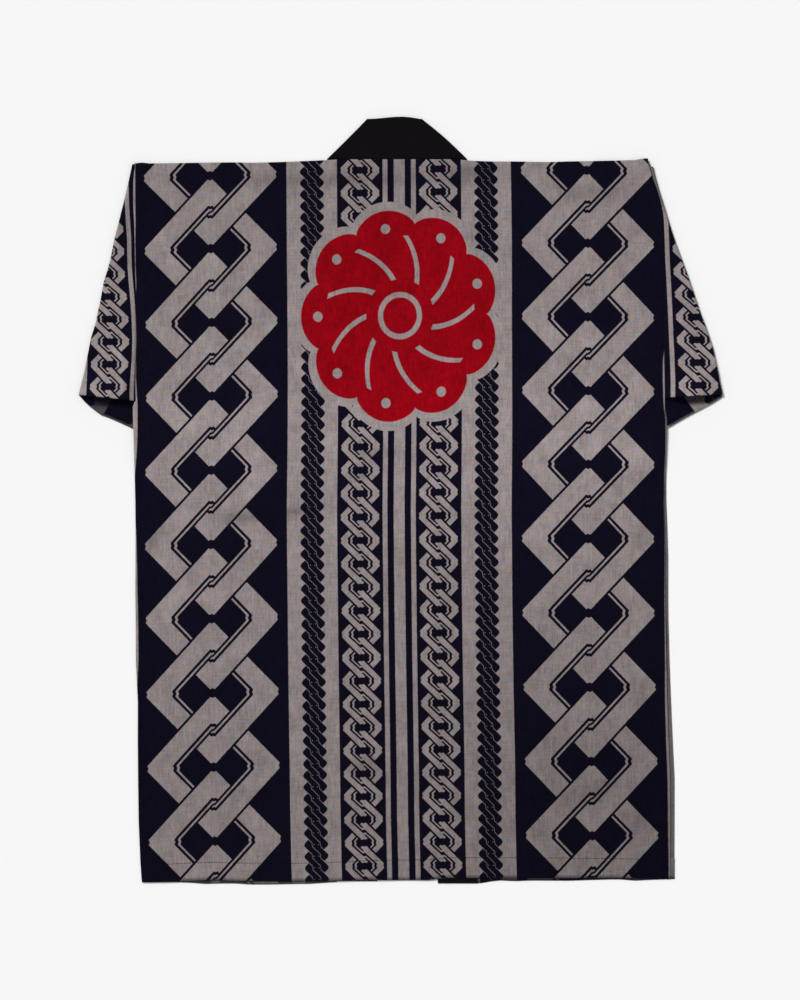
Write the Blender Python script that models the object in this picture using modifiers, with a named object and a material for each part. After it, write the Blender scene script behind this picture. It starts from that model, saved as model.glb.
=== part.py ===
"""Happi coat laid flat, back up, with both sleeves folded under. Metres, +Z up, hem towards -Y.

The coat is flat cloth in layers. Each piece starts as a grid of cloth whose points are laid in
their place, and a Solidify modifier gives it the thickness of the cloth.
Left and right are the wearer's. Seen from above, the wearer's left is at -X.
"""

import math
from typing import NamedTuple

import bmesh
import bpy
from mathutils import Vector

MM = 0.001
MERGE = 0.01 * MM

# Cloth, the doubled collar band, and the air between layers and along seams
WALL = 1.0 * MM
BAND_WALL = 1.6 * MM
GAP = 0.3 * MM
LAYER = WALL + GAP

# A flattened sleeve folds round an axis that lies FOLD_RADIUS from its middle
TURN_RADIUS = LAYER / 2
FOLD_RADIUS = LAYER
FOLD_REACH = FOLD_RADIUS + TURN_RADIUS + WALL / 2
SLEEVE_LIFT = 2 * LAYER
FOLD_AXIS = SLEEVE_LIFT - GAP / 2

# The band folds at the neck in the same way
BAND_RADIUS = (BAND_WALL + GAP) / 2
BAND_REACH = BAND_RADIUS + BAND_WALL / 2
BAND_AXIS = BAND_WALL + GAP / 2
BAND_RISE = BAND_WALL - WALL

# The panels come down softly from what they lie on
LIFT_MARGIN = 20 * MM
LIFT_SLOPE = 44 * MM
BAND_SLOPE = 40 * MM
OPENING_SAG = 1.0 * MM
SAG_START = 60 * MM

# Rows down the body: those beside the sleeves, those where the panels come down, and the rest
BODY_TOP = 402 * MM
UNDERARM = 118 * MM
LIFTED_END = -22 * MM
BODY_END = -449.6 * MM
SLEEVE_ROWS = 12
LIFTED_ROWS = 7
LOWER_ROWS = 6
BODY_ROWS = SLEEVE_ROWS + LIFTED_ROWS + LOWER_ROWS

# Steps across the pieces: the back repeats those of the fronts, the bands and the opening
FRONT_STEPS = 11
BAND_STEPS = 3
OPENING_STEPS = 4
BACK_STEPS = 2 * (FRONT_STEPS + BAND_STEPS) + OPENING_STEPS
NECK_STEPS = 4
TURN_STEPS = 4
FOLD_STEPS = 6
VISIBLE_STEPS = 3
HIDDEN_STEPS = 6


class SideRow(NamedTuple):
    """Side edges of the back and of the fronts under it at one height, in millimetres."""

    y: float
    left: float
    right: float
    under_left: float
    under_right: float


class EndRow(NamedTuple):
    """Shoulder line and hems at one place across, in millimetres."""

    x: float
    shoulder: float
    hem: float
    under_hem: float


class FoldRow(NamedTuple):
    """Folded edge of a sleeve at one height, in millimetres."""

    y: float
    x: float


class Sleeve(NamedTuple):
    """A folded sleeve: its side, its folded edge, its cuff's ends and the sag of its lower edge."""

    side: int
    fold_rows: tuple
    cuff_top: Vector
    cuff_bottom: Vector
    belly: float


class NeckFold(NamedTuple):
    """Slanting fold of the band at one side of the neck, and the front edge it comes up."""

    side: int
    seam_end: Vector
    tip: Vector
    hem_x: float


# The right front shows a few millimetres past the back down that side
SIDES = (
    SideRow(402.0, -309.2, 288.5, -308.6, 287.9),
    SideRow(346.9, -314.5, 304.4, -313.9, 303.8),
    SideRow(304.4, -315.7, 310.1, -315.1, 309.5),
    SideRow(118.0, -315.7, 310.1, -315.1, 309.5),
    SideRow(82.6, -316.0, 309.8, -315.0, 314.5),
    SideRow(11.8, -315.4, 309.8, -314.4, 311.6),
    SideRow(-118.0, -313.2, 310.4, -312.2, 311.8),
    SideRow(-259.6, -310.3, 310.6, -309.3, 319.1),
    SideRow(-377.6, -307.7, 312.7, -306.7, 321.0),
    SideRow(-449.6, -303.9, 314.7, -302.9, 322.0),
)
ENDS = (
    EndRow(-312.0, 398.0, -449.6, -448.4),
    EndRow(-250.0, 400.0, -449.4, -448.6),
    EndRow(-88.0, 400.8, -448.4, -448.8),
    EndRow(-72.0, 402.0, -448.2, -448.9),
    EndRow(43.0, 402.0, -447.4, -449.6),
    EndRow(62.0, 402.0, -447.4, -451.0),
    EndRow(78.0, 401.0, -447.4, -451.6),
    EndRow(314.0, 402.0, -448.4, -451.9),
)
SLEEVES = {
    "sleeve_left": Sleeve(
        side=-1,
        fold_rows=(
            FoldRow(395.3, -316.2),
            FoldRow(346.9, -326.8),
            FoldRow(283.2, -344.3),
            FoldRow(210.0, -360.0),
            FoldRow(123.9, -379.4),
        ),
        cuff_top=Vector((-71.4, 272.6)) * MM,
        cuff_bottom=Vector((-187.0, 24.8)) * MM,
        belly=7.7 * MM,
    ),
    "sleeve_right": Sleeve(
        side=1,
        fold_rows=(
            FoldRow(397.7, 295.6),
            FoldRow(346.9, 311.5),
            FoldRow(304.4, 323.3),
            FoldRow(227.7, 350.5),
            FoldRow(126.3, 379.4),
        ),
        cuff_top=Vector((37.2, 249.6)) * MM,
        cuff_bottom=Vector((192.9, 22.4)) * MM,
        belly=3.0 * MM,
    ),
}

# Collar band: its seam edge climbs the fronts and runs along the back of the neck
NECK_Y = 402.3 * MM
BAND_WIDTH = 47.2 * MM
BAND_CROWN = 2.4 * MM
BAND_HEM_Y = -449.0 * MM
LEFT_NECK = NeckFold(
    side=-1,
    seam_end=Vector((-87.9 * MM, NECK_Y)),
    tip=Vector((-40.7 * MM, NECK_Y + BAND_WIDTH)),
    hem_x=-76.0 * MM,
)
RIGHT_NECK = NeckFold(
    side=1,
    seam_end=Vector((77.3 * MM, NECK_Y)),
    tip=Vector((24.0 * MM, NECK_Y + BAND_WIDTH)),
    hem_x=85.0 * MM,
)

NAVY = (0.008, 0.007, 0.016, 1.0)
BLACK = (0.007, 0.006, 0.007, 1.0)
COTTON_ROUGHNESS = 0.9


def mix(start, end, share):
    """Go a share of the way from start to end."""
    return start + (end - start) * share


def ease(share):
    """Rise softly from 0 to 1 and stay there."""
    share = min(max(share, 0.0), 1.0)
    return share * share * (3 - 2 * share)


def read(rows, key, place, column):
    """Read a column of a table at a place along its key column, straight between rows."""
    ordered = sorted(rows, key=lambda row: getattr(row, key))
    before, after = ordered[0], ordered[1]
    for following in ordered[2:]:
        if place > getattr(after, key):
            before, after = after, following
    span = getattr(after, key) - getattr(before, key)
    share = min(max((place - getattr(before, key)) / span, 0.0), 1.0)
    return mix(getattr(before, column), getattr(after, column), share)


def row_level(row):
    """Height down the body of a row of its grid."""
    if row <= SLEEVE_ROWS:
        return mix(BODY_TOP, UNDERARM, row / SLEEVE_ROWS)
    if row <= SLEEVE_ROWS + LIFTED_ROWS:
        return mix(UNDERARM, LIFTED_END, (row - SLEEVE_ROWS) / LIFTED_ROWS)
    return mix(LIFTED_END, BODY_END, (row - SLEEVE_ROWS - LIFTED_ROWS) / LOWER_ROWS)


def body_point(x, row, hem):
    """Level place of a point of the body: its rows run from the shoulder line to the hem."""
    down = (BODY_TOP - row_level(row)) / (BODY_TOP - BODY_END)
    shoulder_y = read(ENDS, "x", x / MM, "shoulder") * MM
    hem_y = read(ENDS, "x", x / MM, hem) * MM
    return Vector((x, mix(shoulder_y, hem_y, down)))


def side_edge(row, column):
    """Side edge of the body at a row."""
    return read(SIDES, "y", row_level(row) / MM, column) * MM


def armhole_point(sleeve, share):
    """Where a sleeve meets the side of the body, at a share of the sleeve's depth."""
    row = share * SLEEVE_ROWS
    edge = side_edge(row, "left" if sleeve.side < 0 else "right")
    return body_point(edge, row, "hem") + Vector((sleeve.side * GAP, 0.0))


def fold_point(sleeve, share):
    """The outermost point of a sleeve's folded edge, at a share of the sleeve's depth."""
    y = mix(sleeve.fold_rows[0].y, sleeve.fold_rows[-1].y, share)
    return Vector((read(sleeve.fold_rows, "y", y, "x"), y)) * MM


def outward(sleeve):
    """The level direction that points out of a sleeve's folded edge."""
    run = fold_point(sleeve, 1.0) - fold_point(sleeve, 0.0)
    return Vector((-run.y, run.x)).normalized() * sleeve.side


def hidden_patch(sleeve):
    """The corners of the part of a sleeve that lies under the body, going round."""
    top, bottom = fold_point(sleeve, 0.0), fold_point(sleeve, 1.0)
    return (top, sleeve.cuff_top, sleeve.cuff_bottom, bottom)


def distance_outside(corners, point):
    """How far a point lies outside a patch with straight edges, and 0 inside it."""
    centre = sum(corners, Vector((0.0, 0.0))) / len(corners)
    farthest = 0.0
    for start, end in zip(corners, corners[1:] + corners[:1]):
        run = (end - start).normalized()
        normal = Vector((run.y, -run.x))
        if (centre - start).dot(normal) > 0:
            normal = -normal
        farthest = max(farthest, (point - start).dot(normal))
    return farthest


def floor_height(point):
    """Underside of what lies on the floor or over a folded sleeve."""
    away = min(distance_outside(hidden_patch(sleeve), point) for sleeve in SLEEVES.values())
    return SLEEVE_LIFT * (1 - ease((away - LIFT_MARGIN) / LIFT_SLOPE))


def seam_x(neck, y):
    """Where the band meets a front at a height."""
    return mix(neck.hem_x, neck.seam_end.x, (y - BAND_HEM_Y) / (NECK_Y - BAND_HEM_Y))


def back_height(point):
    """Underside of the back: over the fronts, over the thicker band, sagging in the opening."""
    left_seam, right_seam = seam_x(LEFT_NECK, point.y), seam_x(RIGHT_NECK, point.y)
    beside = max(left_seam - point.x, point.x - right_seam, 0.0)
    band_share = 1 - ease(beside / BAND_SLOPE)
    opening_start, opening_end = left_seam + BAND_WIDTH, right_seam - BAND_WIDTH
    across = (point.x - opening_start) / (opening_end - opening_start)
    hollow = math.sin(math.pi * min(max(across, 0.0), 1.0)) * ease((NECK_Y - point.y) / SAG_START)
    return floor_height(point) + LAYER + BAND_RISE * band_share - OPENING_SAG * hollow


def back_x(column, row):
    """Place across of a point of the back, over the columns of the fronts and of the bands."""
    if column > BACK_STEPS / 2:
        neck, side, column = RIGHT_NECK, side_edge(row, "right"), BACK_STEPS - column
    else:
        neck, side = LEFT_NECK, side_edge(row, "left")
    seam = seam_x(neck, row_level(row))
    if column <= FRONT_STEPS:
        return mix(side, seam, column / FRONT_STEPS)
    column -= FRONT_STEPS
    if column <= BAND_STEPS:
        return seam - neck.side * BAND_WIDTH * column / BAND_STEPS
    edges = [seam_x(side_neck, row_level(row)) for side_neck in (LEFT_NECK, RIGHT_NECK)]
    opening = edges[1] - edges[0] - 2 * BAND_WIDTH
    return seam - neck.side * (BAND_WIDTH + opening * (column - BAND_STEPS) / OPENING_STEPS)


def place_back(column, row):
    """Lay a point of the back."""
    point = body_point(back_x(column, row), row, "hem")
    return Vector((point.x, point.y, back_height(point) + WALL / 2))


def place_front(neck, column, row):
    """Lay a point of a front, its columns going towards the wearer's right like the back's."""
    side = side_edge(row, "under_left" if neck.side < 0 else "under_right")
    seam = seam_x(neck, row_level(row)) + neck.side * GAP
    inward = column if neck.side < 0 else FRONT_STEPS - column
    point = body_point(mix(side, seam, inward / FRONT_STEPS), row, "under_hem")
    return Vector((point.x, point.y, floor_height(point) + WALL / 2))


def sleeve_section(step):
    """Go round a flattened sleeve: share of its depth, height from its middle, and overhang."""
    if step <= SLEEVE_ROWS:
        return step / SLEEVE_ROWS, TURN_RADIUS, 0.0
    step -= SLEEVE_ROWS
    if step <= TURN_STEPS:
        angle = math.pi * step / TURN_STEPS
        return 1.0, TURN_RADIUS * math.cos(angle), -TURN_RADIUS * math.sin(angle)
    step -= TURN_STEPS
    if step <= SLEEVE_ROWS:
        return 1 - step / SLEEVE_ROWS, -TURN_RADIUS, 0.0
    angle = math.pi * (step - SLEEVE_ROWS) / TURN_STEPS
    return 0.0, -TURN_RADIUS * math.cos(angle), TURN_RADIUS * math.sin(angle)


def place_sleeve(sleeve, station, step):
    """Lay a point of a sleeve: out from the armhole, round the fold, and in under the body."""
    share, height, overhang = sleeve_section(step)
    out = outward(sleeve)
    past_edge = Vector((0.0, overhang))
    fold = fold_point(sleeve, share) - out * FOLD_REACH
    reach = FOLD_RADIUS + height
    if station <= VISIBLE_STEPS:
        level = armhole_point(sleeve, share).lerp(fold, station / VISIBLE_STEPS) + past_edge
        return Vector((level.x, level.y, FOLD_AXIS + reach))
    station -= VISIBLE_STEPS
    if station <= FOLD_STEPS:
        angle = math.pi * station / FOLD_STEPS
        level = fold + past_edge + out * (reach * math.sin(angle))
        return Vector((level.x, level.y, FOLD_AXIS + reach * math.cos(angle)))
    inward = (station - FOLD_STEPS) / HIDDEN_STEPS
    cuff = sleeve.cuff_top.lerp(sleeve.cuff_bottom, share)
    sag = sleeve.belly * share**3 * math.sin(math.pi * inward**0.45)
    level = fold.lerp(cuff, inward) + past_edge - Vector((0.0, sag))
    return Vector((level.x, level.y, FOLD_AXIS - reach))


def neck_away(neck):
    """The level direction that points out of the band's fold at the neck."""
    run = neck.tip - neck.seam_end
    return Vector((run.y, -run.x)).normalized() * neck.side


def leg_end(neck, share):
    """Where the band coming up a front reaches its fold, at a share of its width."""
    return neck.seam_end.lerp(neck.tip, share) - Vector((0.0, BAND_REACH / neck_away(neck).y))


def neck_end(neck, share):
    """Where the band along the back of the neck reaches its fold, at a share of its width."""
    return neck.seam_end.lerp(neck.tip, share) - Vector((BAND_REACH / neck_away(neck).x, 0.0))


def place_leg(neck, share, climb):
    """Lay a point of the band beside a front, a number of rows up from the hem."""
    level = leg_end(neck, share)
    if climb < BODY_ROWS:
        height = row_level(BODY_ROWS - climb)
        level = Vector((seam_x(neck, height) - neck.side * BAND_WIDTH * share, height))
    return Vector((level.x, level.y, floor_height(level) + BAND_WALL / 2))


def place_neck_fold(neck, share, turn):
    """Lay a point of the band where it folds over, a share of the half turn from its leg."""
    angle = math.pi * turn
    level = leg_end(neck, share).lerp(neck_end(neck, share), turn)
    level = level + neck_away(neck) * (BAND_RADIUS * math.sin(angle))
    return Vector((level.x, level.y, BAND_AXIS - BAND_RADIUS * math.cos(angle)))


def place_band(station, column):
    """Lay a point of the band: up the left front, over the neck, and down the right front.

    Its columns go from the free edge to the seam, which gives its triangles the back's slant.
    """
    share = 1 - column / BAND_STEPS
    if station <= BODY_ROWS:
        return place_leg(LEFT_NECK, share, station)
    station -= BODY_ROWS
    if station <= FOLD_STEPS:
        return place_neck_fold(LEFT_NECK, share, station / FOLD_STEPS)
    station -= FOLD_STEPS
    if station <= NECK_STEPS:
        along = station / NECK_STEPS
        level = neck_end(LEFT_NECK, share).lerp(neck_end(RIGHT_NECK, share), along)
        crown = BAND_CROWN * share * math.sin(math.pi * along)
        return Vector((level.x, level.y + crown, BAND_AXIS + BAND_RADIUS))
    station -= NECK_STEPS
    if station <= FOLD_STEPS:
        return place_neck_fold(RIGHT_NECK, share, 1 - station / FOLD_STEPS)
    return place_leg(RIGHT_NECK, share, BODY_ROWS - (station - FOLD_STEPS))


def cotton(name, colour):
    """Make a plain cotton material."""
    material = bpy.data.materials.new(name)
    material.use_nodes = True
    shader = material.node_tree.nodes["Principled BSDF"]
    shader.inputs["Base Color"].default_value = colour
    shader.inputs["Roughness"].default_value = COTTON_ROUGHNESS
    shader.inputs["Metallic"].default_value = 0.0
    return material


def sew(collection, name, steps, place, thickness, material):
    """Lay a grid of cloth with place(first step, second step) and give it its thickness."""
    grid = bmesh.new()
    bmesh.ops.create_grid(grid, x_segments=steps[0], y_segments=steps[1], size=0.5)
    for point in grid.verts:
        first = round((point.co.x + 0.5) * steps[0])
        second = round((point.co.y + 0.5) * steps[1])
        point.co = place(first, second)
    bmesh.ops.remove_doubles(grid, verts=grid.verts, dist=MERGE)
    bmesh.ops.triangulate(grid, faces=grid.faces, quad_method="FIXED")
    mesh = bpy.data.meshes.new(name)
    grid.to_mesh(mesh)
    grid.free()
    mesh.shade_smooth()
    piece = bpy.data.objects.new(name, mesh)
    piece.data.materials.append(material)
    collection.objects.link(piece)
    wall = piece.modifiers.new("Wall", "SOLIDIFY")
    wall.thickness = thickness
    wall.offset = 0.0
    wall.use_even_offset = True
    return piece


def main():
    for old in list(bpy.data.objects):
        bpy.data.objects.remove(old, do_unlink=True)
    coat = bpy.data.collections.new("happi_coat")
    bpy.context.scene.collection.children.link(coat)
    navy = cotton("navy_cotton", NAVY)
    black = cotton("black_band_cotton", BLACK)

    sew(coat, "back", (BACK_STEPS, BODY_ROWS), place_back, WALL, navy)
    for name, neck in (("front_left", LEFT_NECK), ("front_right", RIGHT_NECK)):
        steps = (FRONT_STEPS, BODY_ROWS)
        sew(coat, name, steps, lambda a, b, neck=neck: place_front(neck, a, b), WALL, navy)
    around = 2 * (SLEEVE_ROWS + TURN_STEPS)
    along = VISIBLE_STEPS + FOLD_STEPS + HIDDEN_STEPS
    for name, sleeve in SLEEVES.items():
        steps = (along, around)
        sew(coat, name, steps, lambda a, b, cut=sleeve: place_sleeve(cut, a, b), WALL, navy)
    band_steps = 2 * (BODY_ROWS + FOLD_STEPS) + NECK_STEPS
    sew(coat, "collar", (band_steps, BAND_STEPS), place_band, BAND_WALL, black)


main()
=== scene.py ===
"""Happi coat laid flat, back up: its cloth, dyed pattern, stitches and studio.

Metres, +Z up, hem towards -Y. Left and right are the wearer's, and the wearer's left is at -X.
"""

import logging
import math
from dataclasses import dataclass
from enum import Enum
from typing import Callable, NamedTuple, Protocol, Sequence, TypeVar

import bmesh
import bpy
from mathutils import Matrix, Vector


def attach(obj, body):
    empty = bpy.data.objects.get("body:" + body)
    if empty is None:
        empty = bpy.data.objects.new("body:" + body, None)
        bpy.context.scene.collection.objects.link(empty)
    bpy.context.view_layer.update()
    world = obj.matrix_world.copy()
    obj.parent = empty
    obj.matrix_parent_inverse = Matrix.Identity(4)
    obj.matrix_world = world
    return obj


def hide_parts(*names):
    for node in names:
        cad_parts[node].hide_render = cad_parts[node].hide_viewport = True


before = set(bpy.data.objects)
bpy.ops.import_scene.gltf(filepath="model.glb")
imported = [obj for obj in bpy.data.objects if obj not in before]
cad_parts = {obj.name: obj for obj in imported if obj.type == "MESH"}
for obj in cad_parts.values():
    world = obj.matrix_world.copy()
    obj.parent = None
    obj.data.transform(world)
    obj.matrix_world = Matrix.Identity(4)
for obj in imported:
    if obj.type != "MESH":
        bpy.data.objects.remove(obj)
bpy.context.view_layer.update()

log = logging.getLogger("happi_coat")

Row = TypeVar("Row", bound=tuple)

MM = 0.001
MERGE = 0.01 * MM

# Walls of the solids, and the cloth that lies in them
WALL = 1.0 * MM
BAND_WALL = 1.6 * MM
GAP = 0.3 * MM
LAYER = WALL + GAP
CLOTH = 0.5 * MM
BAND_CLOTH = 1.5 * MM

# A flattened sleeve folds round an axis that lies FOLD_RADIUS from its middle
TURN_RADIUS = (LAYER + WALL - CLOTH) / 2
FOLD_RADIUS = LAYER
FOLD_REACH = FOLD_RADIUS + TURN_RADIUS + CLOTH / 2
SLEEVE_LIFT = 2 * LAYER
FOLD_AXIS = SLEEVE_LIFT - GAP / 2

# The band folds at the neck in the same way
BAND_RADIUS = (BAND_WALL + GAP) / 2
BAND_REACH = BAND_RADIUS + BAND_WALL / 2
BAND_AXIS = BAND_WALL + GAP / 2
BAND_RISE = BAND_WALL - WALL

# The panels come down softly from what they lie on
LIFT_MARGIN = 20 * MM
LIFT_SLOPE = 44 * MM
BAND_SLOPE = 40 * MM
OPENING_SAG = 1.0 * MM
SAG_START = 60 * MM

# Seam edges roll towards each other, and hems are turned in and stitched
ROLL_WIDTH = 1.6 * MM
ROLL_DROP = 0.5 * MM
EDGE_DISTANCES = (0.0, 0.3 * MM, 0.8 * MM, 1.6 * MM, 3.2 * MM)
HEM_GAP = 0.1 * MM
HEM_RADIUS = (CLOTH + HEM_GAP) / 2
HEM_DEPTH = 24.5 * MM
HEM_TURN_STEPS = 6
HEM_INNER_STEPS = 6
HEM_TURN_WIDTH = 1.0 * MM
HEM_WORN_WIDTH = 4.0 * MM
STITCH_CLEARANCE = 0.19 * MM
STITCHED_FROM = 2

# The open lower edge of a sleeve stands off the part tucked under it
FLARE_POWER = 8
FLARE_AT_ARMHOLE = 0.15
FLARE_RISE_STEPS = 5
FLARE_FALL_STEPS = 9
SAG_POWER = 3

# Painted shade on the sleeves, under the upper layer and towards the top, and a painted highlight along an
# edge
SHADE_SOFTNESS = 5 * MM
HIGHLIGHT_WIDTH = 0.7 * MM
SHADE_TOP = 336.0 * MM
SHADE_TOP_WIDTH = 22.0 * MM

# A sleeve's stripe is a little narrower than the body's
NARROWED = 3.5 * MM
NARROWING = 0.13

BODY_TOP = 402 * MM
BODY_END = -449.6 * MM
UNDER_INSET = 1.0 * MM

# Fineness of the cloth
BACK_COLUMNS = 150
FRONT_COLUMNS = 56
BODY_ROWS = 200
SLEEVE_ROWS = 72
ROW_CROWDING = 1.17
TURN_STEPS = 8
VISIBLE_STEPS = 22
FOLD_STEPS = 12
HIDDEN_STEPS = 40
BAND_COLUMNS = 12
LEG_ROWS = 120
NECK_STEPS = 36


class Edge(Enum):
    """Edges of the body, each by its column in the tables below."""

    LEFT = "left"
    RIGHT = "right"
    HEM = "hem"
    UNDER_HEM = "under_hem"


class SideRow(NamedTuple):
    """Side edges of the back, of the right front under it, and of the pale selvages, in millimetres."""

    y: float
    left: float
    right: float
    under_right: float
    left_pale: float
    right_pale: float


class EndRow(NamedTuple):
    """Shoulder line and hems at one place across, in millimetres."""

    x: float
    shoulder: float
    hem: float
    under_hem: float


class PrintRow(NamedTuple):
    """Where the chains and the middle of the print lie at one height, and how far they sag."""

    y: float
    left: float
    middle: float
    right: float
    left_drop: float
    middle_drop: float
    right_drop: float


class HemRow(NamedTuple):
    """How far the hem's stitches lie above it at one place across, in millimetres."""

    x: float
    inset: float


class LinkRow(NamedTuple):
    """Heights of the first and the last row of link tips at one place across, in millimetres."""

    x: float
    first: float
    last: float


class FoldRow(NamedTuple):
    """Folded edge of a sleeve at one height, in millimetres."""

    y: float
    x: float


class StripeRow(NamedTuple):
    """Where a sleeve's narrow stripe and small chain run at one height, in millimetres."""

    y: float
    stripe: float
    chain: float


class BellyRow(NamedTuple):
    """Millimetres by which a tucked sleeve's lower edge hangs, at a share of its way inward."""

    inward: float
    depth: float


class SoftMark(NamedTuple):
    """A long soft mark, in millimetres and degrees.

    A crease's strength is its height in millimetres, below zero for a trough, and a painted shade
    mark's is a share of darkening. The bow is a share of the length.
    """

    x: float
    y: float
    turn: float
    length: float
    width: float
    strength: float
    bow: float = 0.12


class Stripe(NamedTuple):
    """A plain pale stripe on each side of the pattern's middle, in millimetres."""

    start: float
    end: float


def table(kind: type[Row], *rows: tuple[float, ...]) -> tuple[Row, ...]:
    """Name the columns of a table by the kind of its rows."""
    return tuple(kind(*row) for row in rows)


SIDES = table(
    SideRow,
    (-449.6, -306.2, 316.9, 322.0, -312.0, 315.2),
    (-441.3, -306.9, 316.9, 321.9, -312.0, 315.2),
    (-424.8, -308.0, 316.9, 321.8, -312.5, 315.1),
    (-377.6, -310.0, 317.2, 322.0, -313.0, 314.5),
    (-330.4, -310.6, 316.8, 322.0, -313.0, 314.0),
    (-283.2, -311.0, 314.9, 319.7, -313.0, 312.1),
    (-236.0, -310.9, 313.3, 317.7, -312.6, 310.9),
    (-212.4, -312.1, 312.7, 316.8, -311.4, 310.9),
    (-188.8, -313.2, 312.1, 316.0, -310.3, 310.9),
    (-141.6, -313.4, 311.2, 314.8, -310.6, 310.5),
    (-106.2, -313.9, 310.7, 314.6, -311.5, 310.2),
    (-70.8, -313.7, 310.7, 314.6, -312.1, 310.4),
    (-35.4, -313.6, 310.2, 313.6, -313.0, 310.2),
    (0.0, -313.9, 309.4, 312.3, -316.0, 309.3),
    (29.5, -314.6, 308.9, 312.2, -314.5, 309.4),
    (59.0, -315.4, 309.8, 312.5, -312.1, 311.0),
    (76.7, -315.8, 310.1, 313.2, -311.4, 311.2),
    (94.4, -316.5, 310.3, 312.9, -311.4, 310.8),
    (115.0, -316.8, 310.4, 309.8, -311.4, 309.0),
    (121.0, -313.7, 310.6, 310.0, -311.9, 308.7),
    (141.6, -314.0, 310.4, 309.8, -313.1, 308.1),
    (165.2, -313.4, 309.8, 309.2, -313.2, 308.2),
    (188.8, -312.3, 309.6, 309.0, -314.5, 311.5),
    (212.4, -312.4, 309.5, 308.9, -314.5, 311.5),
    (236.0, -313.3, 309.4, 308.8, -313.9, 311.5),
    (253.7, -313.2, 309.3, 308.7, -312.7, 311.5),
    (271.4, -313.9, 309.2, 308.6, -313.4, 311.5),
    (306.8, -314.6, 309.0, 308.4, -314.0, 311.5),
    (330.4, -315.1, 308.7, 308.1, -313.6, 311.5),
    (342.2, -315.8, 307.2, 306.6, -313.9, 311.0),
    (354.0, -316.3, 303.7, 303.1, -314.0, 310.0),
    (365.8, -316.4, 299.9, 299.3, -314.1, 308.0),
    (377.6, -316.3, 296.4, 295.8, -314.1, 306.0),
    (384.7, -316.0, 294.4, 293.8, -314.1, 305.0),
    (391.8, -315.2, 292.4, 291.8, -314.1, 304.5),
    (402.0, -313.4, 290.4, 289.8, -312.5, 304.0),
)
ENDS = table(
    EndRow,
    (-314.0, 396.9, -450.5, -450.0),
    (-306.0, 397.8, -450.5, -450.0),
    (-296.8, 396.7, -450.5, -450.0),
    (-273.0, 397.1, -450.2, -450.2),
    (-249.6, 397.4, -449.0, -450.9),
    (-232.0, 397.8, -448.2, -452.3),
    (-214.0, 398.0, -448.2, -451.8),
    (-196.0, 398.2, -449.2, -451.8),
    (-178.8, 397.7, -449.1, -453.0),
    (-155.0, 398.2, -449.2, -453.0),
    (-131.6, 399.0, -449.4, -452.5),
    (-108.0, 399.9, -449.1, -452.2),
    (-84.4, 401.0, -448.9, -450.6),
    (-72.0, 402.0, -448.6, -450.0),
    (-37.0, 402.0, -447.7, -449.0),
    (-13.6, 402.0, -448.0, -449.0),
    (10.0, 402.0, -447.9, -449.0),
    (32.0, 402.0, -447.9, -449.0),
    (44.0, 402.0, -446.2, -449.0),
    (62.0, 402.0, -445.4, -451.0),
    (80.8, 400.2, -445.4, -451.2),
    (94.0, 399.6, -445.5, -451.4),
    (105.0, 399.2, -445.5, -449.4),
    (116.0, 399.2, -445.6, -448.2),
    (134.0, 399.2, -445.6, -449.0),
    (151.6, 398.9, -445.6, -448.3),
    (175.0, 398.6, -445.6, -448.4),
    (198.8, 399.3, -445.6, -448.5),
    (222.4, 399.6, -445.6, -447.7),
    (246.0, 400.1, -445.6, -447.0),
    (258.0, 400.3, -445.7, -447.0),
    (275.5, 400.9, -445.9, -448.4),
    (287.0, 402.7, -446.0, -447.8),
    (318.0, 402.4, -446.2, -446.6),
)
PRINT = table(
    PrintRow,
    (-448.4, -219.1, 2.9, 226.2, 0.8, -2.1, 2.1),
    (-372.9, -220.8, 1.2, 224.5, 1.0, -1.9, 2.0),
    (-321.0, -221.6, 0.8, 224.3, 1.1, -0.5, 1.6),
    (-269.0, -222.4, 0.1, 223.1, 0.7, 0.4, 1.2),
    (-217.1, -223.0, -0.7, 221.9, 0.9, 0.7, 1.1),
    (-165.2, -223.6, -1.4, 221.1, 0.8, 0.7, 0.8),
    (-113.3, -224.0, -2.0, 220.4, 0.2, 0.6, 0.6),
    (-61.4, -224.7, -2.5, 220.2, 0.3, 0.6, 0.3),
    (-9.4, -224.9, -2.9, 219.7, 0.1, 0.4, -0.4),
    (42.5, -224.2, -2.4, 220.2, -0.0, 0.5, -0.5),
    (94.4, -223.6, -2.0, 220.2, 0.0, 0.7, -0.1),
    (146.3, -223.5, -2.0, 220.0, -0.3, 0.9, -0.0),
    (198.2, -223.7, -2.2, 219.8, 0.4, 1.8, -0.1),
    (250.2, -224.4, -2.3, 219.7, 0.7, 2.6, 0.0),
    (302.1, -225.1, -2.5, 219.8, 0.7, 3.3, 0.3),
    (354.0, -225.6, -2.6, 219.0, 1.7, 4.9, 1.0),
    (401.2, -226.0, -2.8, 217.9, 2.4, 6.1, 1.7),
)
HEM_LINE = table(
    HemRow,
    (-268.0, 20.8),
    (-120.0, 20.9),
    (-84.0, 21.4),
    (-13.0, 23.2),
    (80.0, 23.7),
    (170.0, 23.6),
    (222.0, 22.9),
    (280.0, 22.3),
)
LINK_LINES = table(
    LinkRow,
    (-301.5, 294.1, -403.3),
    (-146.9, 300.2, -399.8),
    (-1.8, 303.3, -397.1),
    (142.2, 304.7, -394.7),
    (298.0, 301.6, -393.5),
)

# Links from the first row of tips to the last, and how far past a side tip the print keeps its scale
LINK_ROWS = 8
TIP_CLEARANCE = 1.2 * MM

# How many of its widths a soft mark reaches to each side
MARK_TAIL = 3.0

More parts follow.
